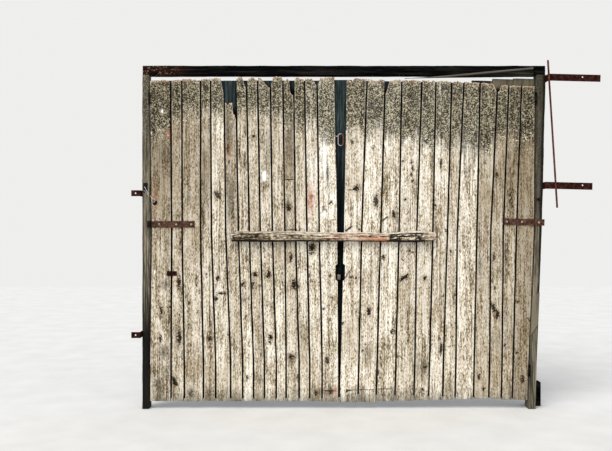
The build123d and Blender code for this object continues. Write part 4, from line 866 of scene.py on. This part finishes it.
def speckled(f, wood, amount):
    """Lichen in small dark and pale grains over old wood."""
    grains = f.total([(f.noise(f.coords, 95, 3, 0.7), 1.8), (f.noise(f.coords, 170, 2, 0.7), 1.6)], 0.48)
    crust = [(0.15, (0.012, 0.011, 0.007)), (0.5, (0.095, 0.083, 0.053)), (0.85, (0.36, 0.32, 0.24))]
    return f.over(wood, f.ramp(grains, crust), amount)


def jamb_shade(f, iron):
    """Painted shade: black away from the strap hinge, where the iron lies in the gap."""
    away = f.unsigned(f.minus(f.parts(f.coords)[2], RIGHT_STRAP_LEVEL))
    return f.over(iron, (0.002, 0.002, 0.002), f.span(away, 0.06, 0.10, 0, 0.95))


def strap_shade(f, iron):
    """Painted shade: black at the hinge end of the left strap, which lies in the gap."""
    in_gap = f.span(f.parts(f.coords)[0], STRAP_SHADE + 0.008, STRAP_SHADE, 0, 0.9)
    return f.over(iron, (0.003, 0.002, 0.002), in_gap)


def left_post_shade(f, wood, broad):
    """Speckled at the top, and painted almost black at the foot as shade."""
    height = f.parts(f.coords)[2]
    wood = speckled(f, wood, f.span(height, 2.15, 2.55, 0, 0.85))
    # Painted shade: almost black towards the foot
    return f.over(wood, (0.005, 0.0045, 0.004), f.span(height, 1.20, 0.64, 0, 0.96))


def right_post_shade(f, wood, broad):
    """Lichen-speckled and painted dark as shade above the strap hinge, grey below it, and painted near-black
    as shade along its outer edge.
    """
    across, _, height = f.parts(f.coords)
    wood = speckled(f, wood, f.span(height, 1.4, 2.0, 0, 0.5))
    # Painted shade: dark above the strap hinge
    wood = f.over(wood, (0.014, 0.012, 0.009), f.span(height, 1.38, 1.70, 0, 0.55))
    outer = f.times_plus(height, -POST_SLOPE, across)
    # Painted shade: near-black along the outer edge
    return f.over(wood, (0.003, 0.003, 0.0025), f.span(outer, POST_SHADE_LINE, POST_SHADE_LINE + 0.014, 0, 0.9))


def lining_shade(f, wood, broad):
    """Painted shade, black where the outer boards cover it; tan where it lies bare; and dark along every
    edge.
    """
    _, covered, tan = f.attribute("weather")
    arris, _, _ = f.attribute("edge")
    wood = f.over(wood, f.ramp(broad, [(0.3, (0.075, 0.062, 0.042)), (0.7, (0.22, 0.19, 0.13))]), tan)
    # Painted shade: black where the outer boards cover the inner boards
    wood = f.over(wood, (0.002, 0.002, 0.002), covered, 0.95)
    return f.over(wood, (0.002, 0.003, 0.003), f.span(arris, 0.4, 0.9, 0, 0.7))


def strip_shade(f, wood, broad):
    """Darker downwards, where less light falls between the leaves."""
    return f.over(wood, (0.0015, 0.002, 0.0025), f.span(f.parts(f.coords)[2], 2.40, 1.70, 0, 0.88))


def slat_shade(f, wood, broad):
    """A painted highlight along its upper arris, and streaked at its thick end."""
    _, _, upper = f.attribute("edge")
    streak = f.streaks(f.coords, (2.5, 60, 150))
    end = f.times(f.span(f.parts(f.coords)[0], 2.85, 3.2), f.span(streak, 0.50, 0.62, 0, 0.5))
    # Painted highlight: a pale line along the upper arris
    line = f.times(f.span(upper, 0.16, 0.34), f.span(broad, 0.3, 0.6, 0.6, 1.0))
    return f.over(f.over(wood, (0.075, 0.068, 0.052), end), (0.135, 0.12, 0.092), line)


def beam_stains(f, wood, broad):
    """Rust-brown run at the left end, with pale curls of old limewash on it."""
    x = f.parts(f.coords)[0]
    ragged = f.streaks(f.coords, (9, 30, 60), 4, 0.65)
    brown = f.times(f.span(x, 0.42, 0.10), f.span(ragged, 0.42, 0.58))
    curls = f.span(f.scatter(f.coords, (110, 110, 130))[1], 0.86, 0.90)
    curls = f.times(f.span(x, 0.30, 0.04), curls)
    return f.over(f.over(wood, (0.060, 0.018, 0.010), brown, 0.8), (0.36, 0.25, 0.17), curls, 0.8)


def foot_shade(f, wood, broad):
    """A paler stretch between the slanting saw cut and the slanting scarf of the right post's foot."""
    x, _, z = f.parts(f.coords)
    x = f.minus(x, FOOT_X)
    cut, scarf = (f.times_plus(x, -rise, f.minus(z, level)) for rise, level in (SAW_CUT, SCARF))
    between = f.times(f.span(cut, 0, 0.01), f.span(scarf, 0, -0.01))
    return f.over(wood, (0.215, 0.183, 0.124), between, f.span(broad, 0.3, 0.6))


def ring_finish():
    """Wire that is bright on its worn left side and rusty on its right."""
    f = Finish("ring_wire", 0.6, 0.4, 0.3)
    x = f.parts(f.coords)[0]
    wear = f.noise(f.coords, 300, 3)
    side = f.span(f.times_plus(wear, 0.02, x), RING_MIDDLE + 0.004, RING_MIDDLE + 0.016)
    pale = f.ramp(wear, [(0.3, (0.25, 0.23, 0.20)), (0.7, (0.62, 0.59, 0.53))])
    rust = f.ramp(wear, [(0.3, (0.12, 0.035, 0.018)), (0.7, (0.38, 0.13, 0.07))])
    f.paint(f.over(pale, rust, side))
    f.bump(wear, 0.0006)
    return f.material


BAR_WOOD = [(0.08, (0.018, 0.012, 0.006)), (0.32, (0.130, 0.096, 0.058)), (0.58, (0.39, 0.315, 0.21)),
            (0.85, (0.88, 0.81, 0.66))]
BAR_RUDDY = [(0.08, (0.07, 0.030, 0.016)), (0.35, (0.34, 0.195, 0.12)), (0.62, (0.64, 0.47, 0.34)),
             (0.92, (0.88, 0.80, 0.68))]
BAR_BURNT = [(0.05, (0.10, 0.020, 0.008)), (0.42, (0.38, 0.100, 0.040)), (0.95, (0.72, 0.36, 0.20))]


def hewn_finish():
    """Hewn bar: grey with a painted highlight along its top, painted shade and a black line of painted shade
    along its underside, a warm stretch, a red one, a dark one and pale cut ends.
    """
    f = Finish("bar_timber")
    grain = f.node("ShaderNodeAttribute", attribute_name="grain").outputs["Vector"]
    warm, dark, pale = f.attribute("tint")
    red, shade, line = f.attribute("bands")
    fine = f.streaks(grain, (330, 1, 14), 3, 0.65)
    medium = f.streaks(grain, (85, 1, 3.0), 2, 0.6, 0.3)
    short = f.streaks(grain, (95, 1, 30), 4, 0.7)
    value = f.total([(fine, 0.9), (medium, 2.4), (short, 2.3)], 0.52)
    streaks = f.minus(f.total([(medium, 1.0), (short, 0.8)], 0.0), 0.12)
    # Painted shade: the shade band darkens the underside
    value = f.minus(f.times_plus(f.times(dark, streaks), 3.0, value), shade)
    warm = f.times(warm, f.span(short, 0.3, 0.6, 0.5, 1.1), clamp=True)
    red = f.times(red, f.span(short, 0.36, 0.54, 0.25, 1.1), clamp=True)
    # The pale channel: pale cut ends, and a painted highlight along the top
    crest = f.times(pale, f.span(short, 0.36, 0.50, 0.15, 1.0), clamp=True)
    wood = f.over(f.ramp(value, BAR_WOOD), f.ramp(value, BAR_RUDDY), warm)
    wood = f.over(wood, f.ramp(value, BAR_BURNT), red)
    wood = f.over(wood, (0.90, 0.84, 0.72), crest, 0.9)
    check = f.checks(grain, (60, 1, 1.8), 2, 0.018, f.span(medium, 0.62, 0.45))
    wood = f.over(wood, (0.018, 0.013, 0.009), check, 0.85)
    # Painted shade: a black line along the underside
    f.paint(f.over(wood, (0.012, 0.007, 0.004), line, 0.96))
    f.bump(f.minus(f.total([(fine, 0.5), (medium, 1.0), (short, 0.8)], 0.5), check), 0.004)
    return f.material


# Dark, middle and pale colour of each timber and iron
DARK_BLUE = [(0.003, 0.005, 0.006), (0.0175, 0.0255, 0.0275), (0.070, 0.092, 0.094)]
STRIP_COLOURS = [tuple(1.55 * v for v in colour) for colour in DARK_BLUE]
BACK_COLOURS = [(0.030, 0.026, 0.020), (0.085, 0.074, 0.056), (0.17, 0.15, 0.115)]
LEFT_POST_COLOURS = [(0.018, 0.015, 0.010), (0.088, 0.074, 0.050), (0.32, 0.28, 0.20)]
RIGHT_POST_COLOURS = [(0.016, 0.012, 0.008), (0.115, 0.094, 0.062), (0.36, 0.31, 0.22)]
FOOT_COLOURS = [(0.018, 0.015, 0.010), (0.085, 0.074, 0.050), (0.27, 0.24, 0.17)]
# Painted shade: the head beam's and the head slat's near-black colours, as if under a lintel
HEAD_COLOURS = [(0.001, 0.0012, 0.0013), (0.0035, 0.0037, 0.0038), (0.022, 0.021, 0.018)]
SLAT_COLOURS = [(0.002, 0.002, 0.0018), (0.0065, 0.006, 0.005), (0.020, 0.018, 0.014)]
RUST_COLOURS = [(0.012, 0.005, 0.004), (0.078, 0.036, 0.024), (0.21, 0.11, 0.070)]
TIE_COLOURS = [(0.005, 0.002, 0.0016), (0.027, 0.0085, 0.0068), (0.085, 0.030, 0.021)]
ROD_COLOURS = [(0.016, 0.005, 0.003), (0.085, 0.024, 0.014), (0.20, 0.065, 0.038)]
JAMB_COLOURS = [(0.012, 0.005, 0.004), (0.065, 0.032, 0.022), (0.17, 0.09, 0.06)]
BLACK_COLOURS = [(0.002, 0.002, 0.002), (0.007, 0.006, 0.005), (0.030, 0.022, 0.017)]
BOLT_COLOURS = [(0.10, 0.075, 0.055), (0.34, 0.28, 0.22), (0.72, 0.66, 0.57)]
LOCK_COLOURS = [(0.035, 0.024, 0.019), (0.24, 0.185, 0.155)]
WIRE_COLOURS = [(0.30, 0.28, 0.24), (0.80, 0.77, 0.70)]

BOARD_GAINS, POST_GAINS = (0.9, 1.5, 0.9), (1.0, 1.8, 1.2)
WEATHERED = weathered_board()
LINING = old_timber("dark_board", DARK_BLUE, "z", BOARD_GAINS, lining_shade, 0.03)
STRIP = old_timber("cover_strip_timber", STRIP_COLOURS, "z", BOARD_GAINS, strip_shade, 0.03)
BACK = old_timber("back_timber", BACK_COLOURS, "x")
LEFT_POST = old_timber("post_timber", LEFT_POST_COLOURS, "z", POST_GAINS, left_post_shade)
RIGHT_POST = old_timber("right_post_timber", RIGHT_POST_COLOURS, "z", POST_GAINS, right_post_shade)
FOOT = old_timber("foot_timber", FOOT_COLOURS, "z", (1.0, 1.6, 1.0), foot_shade)
HEAD = old_timber("head_timber", HEAD_COLOURS, "x", (0.8, 1.2, 1.4), beam_stains, 0.0)
SLAT = old_timber("head_slat_timber", SLAT_COLOURS, "x", stain=slat_shade, specular=0.0)
BAR = hewn_finish()
RUST = rusted("rusty_iron", RUST_COLOURS, specular=0.1)
LEFT_STRAP = rusted("left_strap_iron", RUST_COLOURS, specular=0.1, stain=strap_shade)
TIE = rusted("tie_iron", TIE_COLOURS, 0.95, 0.0, specular=0.0)
ROD = rusted("rod_iron", ROD_COLOURS, 0.9, 0.0, specular=0.1)
JAMB = rusted("jamb_iron", JAMB_COLOURS, 0.95, 0.0, specular=0.0, stain=jamb_shade)
BLACK_IRON = rusted("black_iron", BLACK_COLOURS, specular=0.1)
BOLT = rusted("bolt_iron", BOLT_COLOURS, 0.7, 0.2, 2.0)
RING = ring_finish()
LOCK = bare_metal("lock_metal", LOCK_COLOURS, 0.55, 0.4)
WIRE = bare_metal("grey_wire", WIRE_COLOURS, 0.6, 0.2)
FINISHES = {
    "weathered_board": WEATHERED, "dark_board": LINING, "back_timber": BACK, "post_timber": RIGHT_POST,
    "head_timber": HEAD, "bar_timber": BAR, "rusty_iron": RUST, "bolt_iron": BOLT,
    "lock_metal": LOCK, "grey_wire": WIRE,
}
# Nodes that look unlike the rest of their slot
OWN_FINISHES = {
    "left_strap": LEFT_STRAP, "cover_strip": STRIP, "head_slat": SLAT, "right_post_foot": FOOT,
    "left_ties": TIE, "right_ties": TIE, "patch_plate": TIE, "hanging_rod": ROD, "wire_ring": RING,
    # Painted shade: the left jamb hinges and the butts lie in the gap, and their near-black iron stands in
    # for its shade
    "right_jamb_hinges": JAMB, "left_jamb_hinges": BLACK_IRON, "left_butts": BLACK_IRON,
    "right_butts": BLACK_IRON, "post_plate": BLACK_IRON, "padlock_shackle": BLACK_IRON,
    "lock_staple": BLACK_IRON,
}


def dress_nodes():
    """Every CAD node takes the finish of its slot."""
    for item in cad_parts.values():
        for holder in item.material_slots:
            slot = holder.material.name.split(".")[0]
            holder.material = OWN_FINISHES.get(item.name, FINISHES[slot])


def dress_boards():
    """A worn surface for every outer board of both leaves."""
    for side, tones, lichen in (("left", LEFT_TONES, LEFT_LICHEN), ("right", RIGHT_TONES, RIGHT_LICHEN)):
        for index, (tone, limit) in enumerate(zip(tones, lichen)):
            seed = index + (1 if side == "left" else 41)
            closer = CRACK_LAP if side == "left" else 0
            timber(f"{side}_board_{index + 1:02d}", f"{side}_leaf", WEATHERED, "weathered_board", seed,
                   tones=tone, lichen_row=limit, laps=(closer * (index == 1), closer * (index == 0)))


BAR_ROWS, BAR_AROUND = 240, 72
BAR_POWER = 3.4                # how square the bar's section is
BAR_BACK = -0.0606
BAR_INSET = 0.001              # by which both ends lie inside the CAD bar
BAR_GIRTH = 0.045              # place across the grain, for each radian round the bar
BAR_END_ROWS, BAR_END_SHRINK = 3, 0.10         # rings that are smaller at each end, and by how much
BAR_SKEW, SKEW_REACH, BAR_HOLLOW = 0.006, 1 / 30, 0.004  # how askew and how hollow its ends are cut
FACET, SMALL_FACET = 0.055, 0.03               # depth of the hewn facets, as a share of the bar's half size
GROOVE, GROOVE_WIDTH = 0.055, 0.09
# Columns of the photograph between which a colour lies, and over how many it fades at both ends
WARM_STRETCH, WARM_FADES = (316, 390), (14, 14)
RED_STRETCH, RED_FADES = (352, 388), (20, 2)
DARK_STRETCH, DARK_FADES = (388, 424), (4, 4)
BAR_SPAN, CUT_FADES = (231, 439), (2.4, 6.0)   # the whole bar, and its pale cut ends
WARM_END, WARM_END_STRENGTH = (425, 4), 0.75   # column and fade beyond which it is warm again
ORANGE_STAIN, ORANGE_STRENGTH = (244, 9), 0.45           # column of a stain at its top, and half its length
# Bands, as a share of the way down from its top, and over what share each fades
CREST_HIGHLIGHT_BAND, RED_BAND, ORANGE_BAND = (0.13, -0.05), (0.42, 0.22), (0.14, -0.08)
SHADE_LINE_FADE, BAR_SHADE = 0.06, 0.30              # fade of the black line of painted shade below it, and the painted shade of its underside
# How light the bar is at some columns, how strong the painted highlight along its crest is, and where the
# black line of painted shade below it starts
BAR_COLUMNS = (231, 262, 292, 305, 340, 352, 366, 386, 390, 422, 427, 439)
BAR_LIGHTER = (-0.13, -0.10, 0.02, 0.08, -0.02, 0.04, 0.12, 0.08, -0.10, -0.08, 0.26, 0.28)
CREST_HIGHLIGHT_STRENGTH = (0.2, 0.4, 0.6, 0.7, 0.6, 0.8, 0.9, 1.0, 1.0, 0.9, 0.5, 0.4)
SHADE_LINE_STARTS = (0.76, 0.77, 0.79, 0.80, 0.86, 0.88, 0.88, 0.88, 0.82, 0.82, 0.86, 0.86)


def reach(node, levels):
    """Lowest Y, lowest Z and highest Z at which a CAD node's triangles cross planes of constant X."""
    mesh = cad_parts[node].data
    points = mesh_points(mesh)
    pairs = np.empty(len(mesh.edges) * 2, int)
    mesh.edges.foreach_get("vertices", pairs)
    a, b = points[pairs[0::2]], points[pairs[1::2]]
    front, _ = crossings(a[:, [0, 1]], b[:, [0, 1]], 0, levels)
    foot, top = crossings(a[:, [0, 2]], b[:, [0, 2]], 0, levels)
    return front, foot, top


def squared_off(wave):
    """A sine or cosine with its tops broadened, by a root of its size."""
    return np.sign(wave) * np.abs(wave) ** (2 / BAR_POWER)


def within(columns, stretch, fades):
    """1 inside a stretch of columns, falling straight to 0 towards both of its ends."""
    return rise_over(columns, stretch[0], fades[0]) * rise_over(columns, stretch[1], -fades[1])


def bar_tones(column, sink):
    """Warm, dark and pale, and red, shade and black line, at each column and each share of the way down; the
    pale crest is a painted highlight, and the shade and black line are painted shade.

    Each is a stretch of columns with fading ends, times a band where it lies at some height only."""
    warm_end = WARM_END_STRENGTH * rise_over(column, *WARM_END)
    warm = np.maximum(within(column, WARM_STRETCH, WARM_FADES), warm_end)
    dark = within(column, DARK_STRETCH, DARK_FADES)
    # Painted highlight along the top
    crest = rise_over(sink, *CREST_HIGHLIGHT_BAND) * np.interp(column, BAR_COLUMNS, CREST_HIGHLIGHT_STRENGTH)
    pale = np.maximum(1 - within(column, BAR_SPAN, CUT_FADES), crest)
    red = within(column, RED_STRETCH, RED_FADES) * rise_over(sink, *RED_BAND)
    stain = np.exp(-((column - ORANGE_STAIN[0]) / ORANGE_STAIN[1]) ** 2) * rise_over(sink, *ORANGE_BAND)
    red = np.maximum(red, ORANGE_STRENGTH * stain)
    # Painted shade: darker towards the underside, with a black line at its foot
    shade = BAR_SHADE * sink ** 2 - np.interp(column, BAR_COLUMNS, BAR_LIGHTER)
    line = rise_over(sink - np.interp(column, BAR_COLUMNS, SHADE_LINE_STARTS), 0, SHADE_LINE_FADE)
    return np.stack([warm, dark, pale], 1), np.stack([red, shade, line], 1)


def hewn_bar():
    """The rail across the leaves: rings along X, each a squared-off ellipse with its back cut flat.

    A ring's radius is drawn in by smooth noise for the hewn facets, by long grooves where stretched
    noise crosses zero, and a little at the two ends, which are hollow and cut slightly askew."""
    low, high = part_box("bar")
    along = np.linspace(0, 1, BAR_ROWS)[:, None]
    x = low[0] + BAR_INSET + along * (high[0] - low[0] - 2 * BAR_INSET)
    front, foot, top = (value[:, None] for value in reach("bar", x[:, 0]))
    angle = np.linspace(0, 2 * math.pi, BAR_AROUND, endpoint=False)[None, :]
    side_y, side_z = squared_off(np.sin(angle)), squared_off(np.cos(angle))
    round_trip = np.minimum(angle, 2 * math.pi - angle)
    facets = FACET * (1 + drift(x * 7, round_trip * 1.6, 3))
    facets = facets + SMALL_FACET * (1 + drift(x * 31, round_trip * 5, 4))
    groove = np.exp(-(drift(x * 2.3, round_trip * 8 + 0.5 * drift(x * 5, 0, 8), 12) / GROOVE_WIDTH) ** 2)
    from_end = np.minimum(along, 1 - along)
    ends = rise_over(from_end * (BAR_ROWS - 1), 0, BAR_END_ROWS)
    scale = (1 - facets - GROOVE * groove) * (1 - BAR_END_SHRINK * (1 - ends) ** 2)
    middle_y, half_y = (front + BAR_BACK) / 2, (BAR_BACK - front) / 2
    middle_z, half_z = (foot + top) / 2, (top - foot) / 2
    y = np.minimum(middle_y + half_y * scale * side_y, BAR_BACK)
    z = middle_z + half_z * scale * side_z
    skew = BAR_SKEW * (side_z + 0.4 * side_y) * rise_over(from_end, SKEW_REACH, -SKEW_REACH)
    points = np.stack([x + np.abs(skew) * np.sign(0.5 - along), y, z], -1).reshape(-1, 3)
    centres = np.array([[x[row, 0] + hollow, middle_y[row, 0], middle_z[row, 0]]
                        for row, hollow in ((0, BAR_HOLLOW), (-1, -BAR_HOLLOW))])
    around, count = np.arange(BAR_AROUND), len(points)
    after, last = (around + 1) % BAR_AROUND, (BAR_ROWS - 1) * BAR_AROUND
    faces = (tube_faces(BAR_ROWS, BAR_AROUND),
             np.stack([around, np.full(BAR_AROUND, count), after], -1)[:, ::-1],
             np.stack([last + around, last + after, np.full(BAR_AROUND, count + 1)], -1)[:, ::-1])
    sink = (0.5 - 0.5 * side_z + 0 * x).reshape(-1)
    tint, bands = bar_tones(column_of(points[:, 0]), sink)
    grain = np.stack([(angle * BAR_GIRTH + 0 * x).reshape(-1), np.zeros(count), points[:, 0]], 1)
    attributes = {"grain": np.concatenate([grain, [[0.1, 0, centre[0]] for centre in centres]]),
                  "tint": np.concatenate([tint, [[0, 0, 1], [0.5, 0, 1]]]),
                  "bands": np.concatenate([bands, np.zeros((2, 3))])}
    piece = make_piece("bar_worn", np.concatenate([points, centres]), faces, "left_leaf", BAR,
                       attributes)
    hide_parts("bar")
    return piece


# Small irons and wire, with places read off the photograph as column and row

TUBE_SIDES, PLATE_SIDES = 10, 32
WIRE_RADIUS, THIN_RADIUS, HOOK_RADIUS = 0.0024, 0.0022, 0.0042
WIRE_END = 0.35                # radius of a wire's end, as a share of its own
HIGH_START, LOW_START = (0.010, 0.030), (0.006, 0.018)   # of the post wires, in from the plate's corners
POST_WIRE_END, LOW_WIRE_END, EYE_WIRE_END = (149.2, 194.0), (148.9, 196.2), (150.6, 195.4)
EYE_PLATE, EYE_PLATE_RADIUS = (154.8, 202.6), 0.021
EYE, EYE_RADIUS, EYE_LEAN = (153.4, 200.4), 0.015, 0.10
HOOK, HOOK_EYE_RADIUS = (538.9, 199.4), 0.010
# The round plate's profile: share of its radius, and Y
PLATE_PROFILE = ((0.02, -0.0048), (0.35, -0.0048), (0.75, -0.0040), (0.95, -0.0026), (1.0, -0.0008),
                 (1.0, 0.001), (0.02, 0.001))
# How far in front of what they lie on the wires, the eye and the hook have their middle
WIRE_LIFT, EYE_WIRE_LIFT, EYE_LIFT, HOOK_LIFT = 0.0022, 0.004, 0.0068, 0.0045


def tube(name, path, radius, body, finish, closed=False):
    """A round wire: at each point of a path, a circle square to the run of the path there.

    An open wire's circles shrink to a small round end; a closed one joins its last circle to its first."""
    run = np.roll(path, -1, 0) - np.roll(path, 1, 0) if closed else np.gradient(path, axis=0)
    run = run / np.linalg.norm(run, axis=1, keepdims=True)
    side = np.cross(run, (0, 1, 0.001))
    side = side / np.linalg.norm(side, axis=1, keepdims=True)
    rise = np.cross(run, side)
    turn = np.linspace(0, 2 * math.pi, TUBE_SIDES, endpoint=False)[None, :, None]
    size = np.full(len(path), radius)
    if not closed:
        size[[0, -1]] = radius * WIRE_END
    circles = np.cos(turn) * side[:, None] + np.sin(turn) * rise[:, None]
    rings = path[:, None] + size[:, None, None] * circles
    if closed:
        rings = np.concatenate([rings, rings[:1]])
    faces = [tube_faces(len(rings), TUBE_SIDES)]
    if not closed:
        last = (len(rings) - 1) * TUBE_SIDES
        faces += [np.arange(TUBE_SIDES)[None, ::-1], last + np.arange(TUBE_SIDES)[None]]
    return make_piece(name, rings, faces, body, finish)


def loop(centre, radius, lean, count=36):
    """Circle of points round a centre in the plane of the boards, its top leaning out from them."""
    turn = np.linspace(0, 2 * math.pi, count, endpoint=False)
    x, z = radius * np.cos(turn), radius * np.sin(turn)
    return centre + np.stack([x, -lean * (z + radius), z * math.sqrt(1 - lean ** 2)], 1)


def sagging(start, end, drop, count=14):
    """Line between two points that hangs below the straight one by a parabola."""
    share = np.linspace(0, 1, count)[:, None]
    line = np.array(start) * (1 - share) + np.array(end) * share
    return line - (0, 0, 1) * (4 * drop * share * (1 - share))


def washer(name, centre, radius, body, finish):
    """Hammered round plate: a domed profile turned round its middle, its rim uneven."""
    profile = np.array(PLATE_PROFILE)
    turn = np.linspace(0, 2 * math.pi, PLATE_SIDES, endpoint=False)[None, :]
    size = radius * (1 + 0.06 * drift(np.cos(turn) * 2, np.sin(turn) * 2, 7))
    x = centre[0] + profile[:, :1] * size * np.cos(turn)
    z = centre[2] + profile[:, :1] * size * np.sin(turn)
    y = centre[1] + profile[:, 1:] + 0 * x
    ends = np.arange(PLATE_SIDES)
    faces = (tube_faces(len(profile), PLATE_SIDES), ends[None, ::-1],
             (len(profile) - 1) * PLATE_SIDES + ends[None])
    return make_piece(name, np.stack([x, y, z], -1), faces, body, finish)


def spot(pixel, y):
    """The point of a given Y that the photograph shows at a pixel."""
    x, z = place(*pixel)
    return np.array((x, y, z))


def wires_and_hook():
    """The two wires that hang from the plate on the left post, the eye on the leaf with its plate and its
    wire, and the hook at the right post."""
    plate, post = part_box("post_plate"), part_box("right_post_upper")
    wire_y = plate[0][1] - WIRE_LIFT
    high = (plate[0][0] + HIGH_START[0], wire_y, plate[1][2] - HIGH_START[1])
    low = (plate[0][0] + LOW_START[0], wire_y, plate[0][2] + LOW_START[1])
    tube("post_wire", sagging(high, spot(POST_WIRE_END, wire_y), 0.006), WIRE_RADIUS, "frame", WIRE)
    tube("post_wire_low", sagging(low, spot(LOW_WIRE_END, wire_y), -0.004), THIN_RADIUS, "frame", WIRE)
    washer("eye_plate", spot(EYE_PLATE, BOARD_FACE), EYE_PLATE_RADIUS, "left_leaf", BLACK_IRON)
    eye = spot(EYE, BOARD_FACE - EYE_LIFT)
    tube("eye_ring", loop(eye, EYE_RADIUS, EYE_LEAN), WIRE_RADIUS, "left_leaf", WIRE,
         closed=True)
    start = spot(EYE_WIRE_END, BOARD_FACE - EYE_WIRE_LIFT)
    tube("eye_wire", sagging(start, eye + (-0.009, 0, 0.012), 0.003), WIRE_RADIUS, "left_leaf", WIRE)
    hook = spot(HOOK, post[0][1] - HOOK_LIFT)
    tube("hook_eye", loop(hook, HOOK_EYE_RADIUS, 0.0), HOOK_RADIUS, "frame", TIE, closed=True)
    tube("hook_shank", sagging(hook - (0.027, 0, 0.001), hook - (0.011, 0, 0), 0.0005), HOOK_RADIUS, "frame",
         TIE)


# Camera, floor and light

def add_camera():
    """Camera level with the middle of the door, square to it, as the photograph was taken."""
    centre_x = place(IMAGE_WIDTH / 2, 0)[0]
    data = bpy.data.cameras.new("photo_view")
    data.sensor_fit = "HORIZONTAL"
    data.angle = VIEW_ANGLE
    camera = bpy.data.objects.new("photo_view", data)
    camera.location = (centre_x, BOARD_FACE - CAMERA_DISTANCE, CAMERA_HEIGHT)
    camera.rotation_euler = (math.pi / 2, 0, 0)
    bpy.context.scene.collection.objects.link(camera)
    bpy.context.scene.camera = camera


def add_floor():
    """Pale level floor under the door."""
    f = Finish("floor", 0.95, 0.1)
    f.paint(f.ramp(f.noise(f.coords, 3.0, 4), [(0.3, (0.70, 0.69, 0.67)), (0.7, (0.76, 0.75, 0.73))]))
    corners = np.array([(-1, -1, 0), (1, -1, 0), (1, 1, 0), (-1, 1, 0)]) * FLOOR_HALF
    mesh = bpy.data.meshes.new("floor")
    mesh.from_pydata((corners + (MEETING_X, 0, -FLOOR_DEPTH)).tolist(), [], [(0, 1, 2, 3)])
    mesh.materials.append(f.material)
    floor = bpy.data.objects.new("floor", mesh)
    bpy.context.scene.collection.objects.link(floor)


def add_light():
    """Soft light from above in front, and an even pale sky that the camera sees as near white."""
    sun = bpy.data.lights.new("key", "SUN")
    sun.energy = SUN_STRENGTH
    sun.angle = math.radians(SUN_WIDTH)
    sun.color = (1.0, 0.985, 0.955)
    lamp = bpy.data.objects.new("key", sun)
    lamp.rotation_euler = (math.radians(SUN_TILT), 0, math.radians(SUN_TURN))
    bpy.context.scene.collection.objects.link(lamp)
    world = bpy.data.worlds.new("studio")
    bpy.context.scene.world = world
    world.use_nodes = True
    tree = world.node_tree
    tree.nodes.clear()
    ray = tree.nodes.new("ShaderNodeLightPath")
    sky, seen = tree.nodes.new("ShaderNodeBackground"), tree.nodes.new("ShaderNodeBackground")
    for shown, colour, strength in ((sky, SKY_COLOUR, SKY_STRENGTH), (seen, BACKDROP_COLOUR, 1.0)):
        shown.inputs[0].default_value = colour
        shown.inputs[1].default_value = strength
    either, last = tree.nodes.new("ShaderNodeMath"), tree.nodes.new("ShaderNodeMath")
    either.operation = "MAXIMUM"
    last.operation = "MAXIMUM"
    blend = tree.nodes.new("ShaderNodeMixShader")
    out = tree.nodes.new("ShaderNodeOutputWorld")
    links = ((ray, "Is Camera Ray", either, 0), (ray, "Is Glossy Ray", either, 1), (either, 0, last, 0),
             (ray, "Is Transmission Ray", last, 1), (last, 0, blend, 0), (sky, 0, blend, 1),
             (seen, 0, blend, 2), (blend, 0, out, 0))
    for source, output, target, socket in links:
        tree.links.new(source.outputs[output], target.inputs[socket])
    bpy.context.scene.view_settings.view_transform = "Standard"


add_camera()
add_floor()
add_light()
dress_nodes()
dress_boards()
timber("left_post", "frame", LEFT_POST, "post_timber", 101, ragged=(0, 0), wear=1.6, marks=False)
timber("right_post_upper", "frame", RIGHT_POST, "post_timber", 103, ragged=(0, 0), wear=1.6, marks=False)
inner_boards("left_lining", "left_leaf", 131)
inner_boards("right_lining", "right_leaf", 151)
hewn_bar()
wires_and_hook()
timber("head_beam", "frame", HEAD, "head_timber", 105, vertical=False, ragged=(0.4, 0.4), wear=1.4,
       marks=False)
timber("head_slat", "frame", SLAT, "head_timber", 107, vertical=False, ragged=(0.4, 0.4), wear=0.8,
       marks=False)
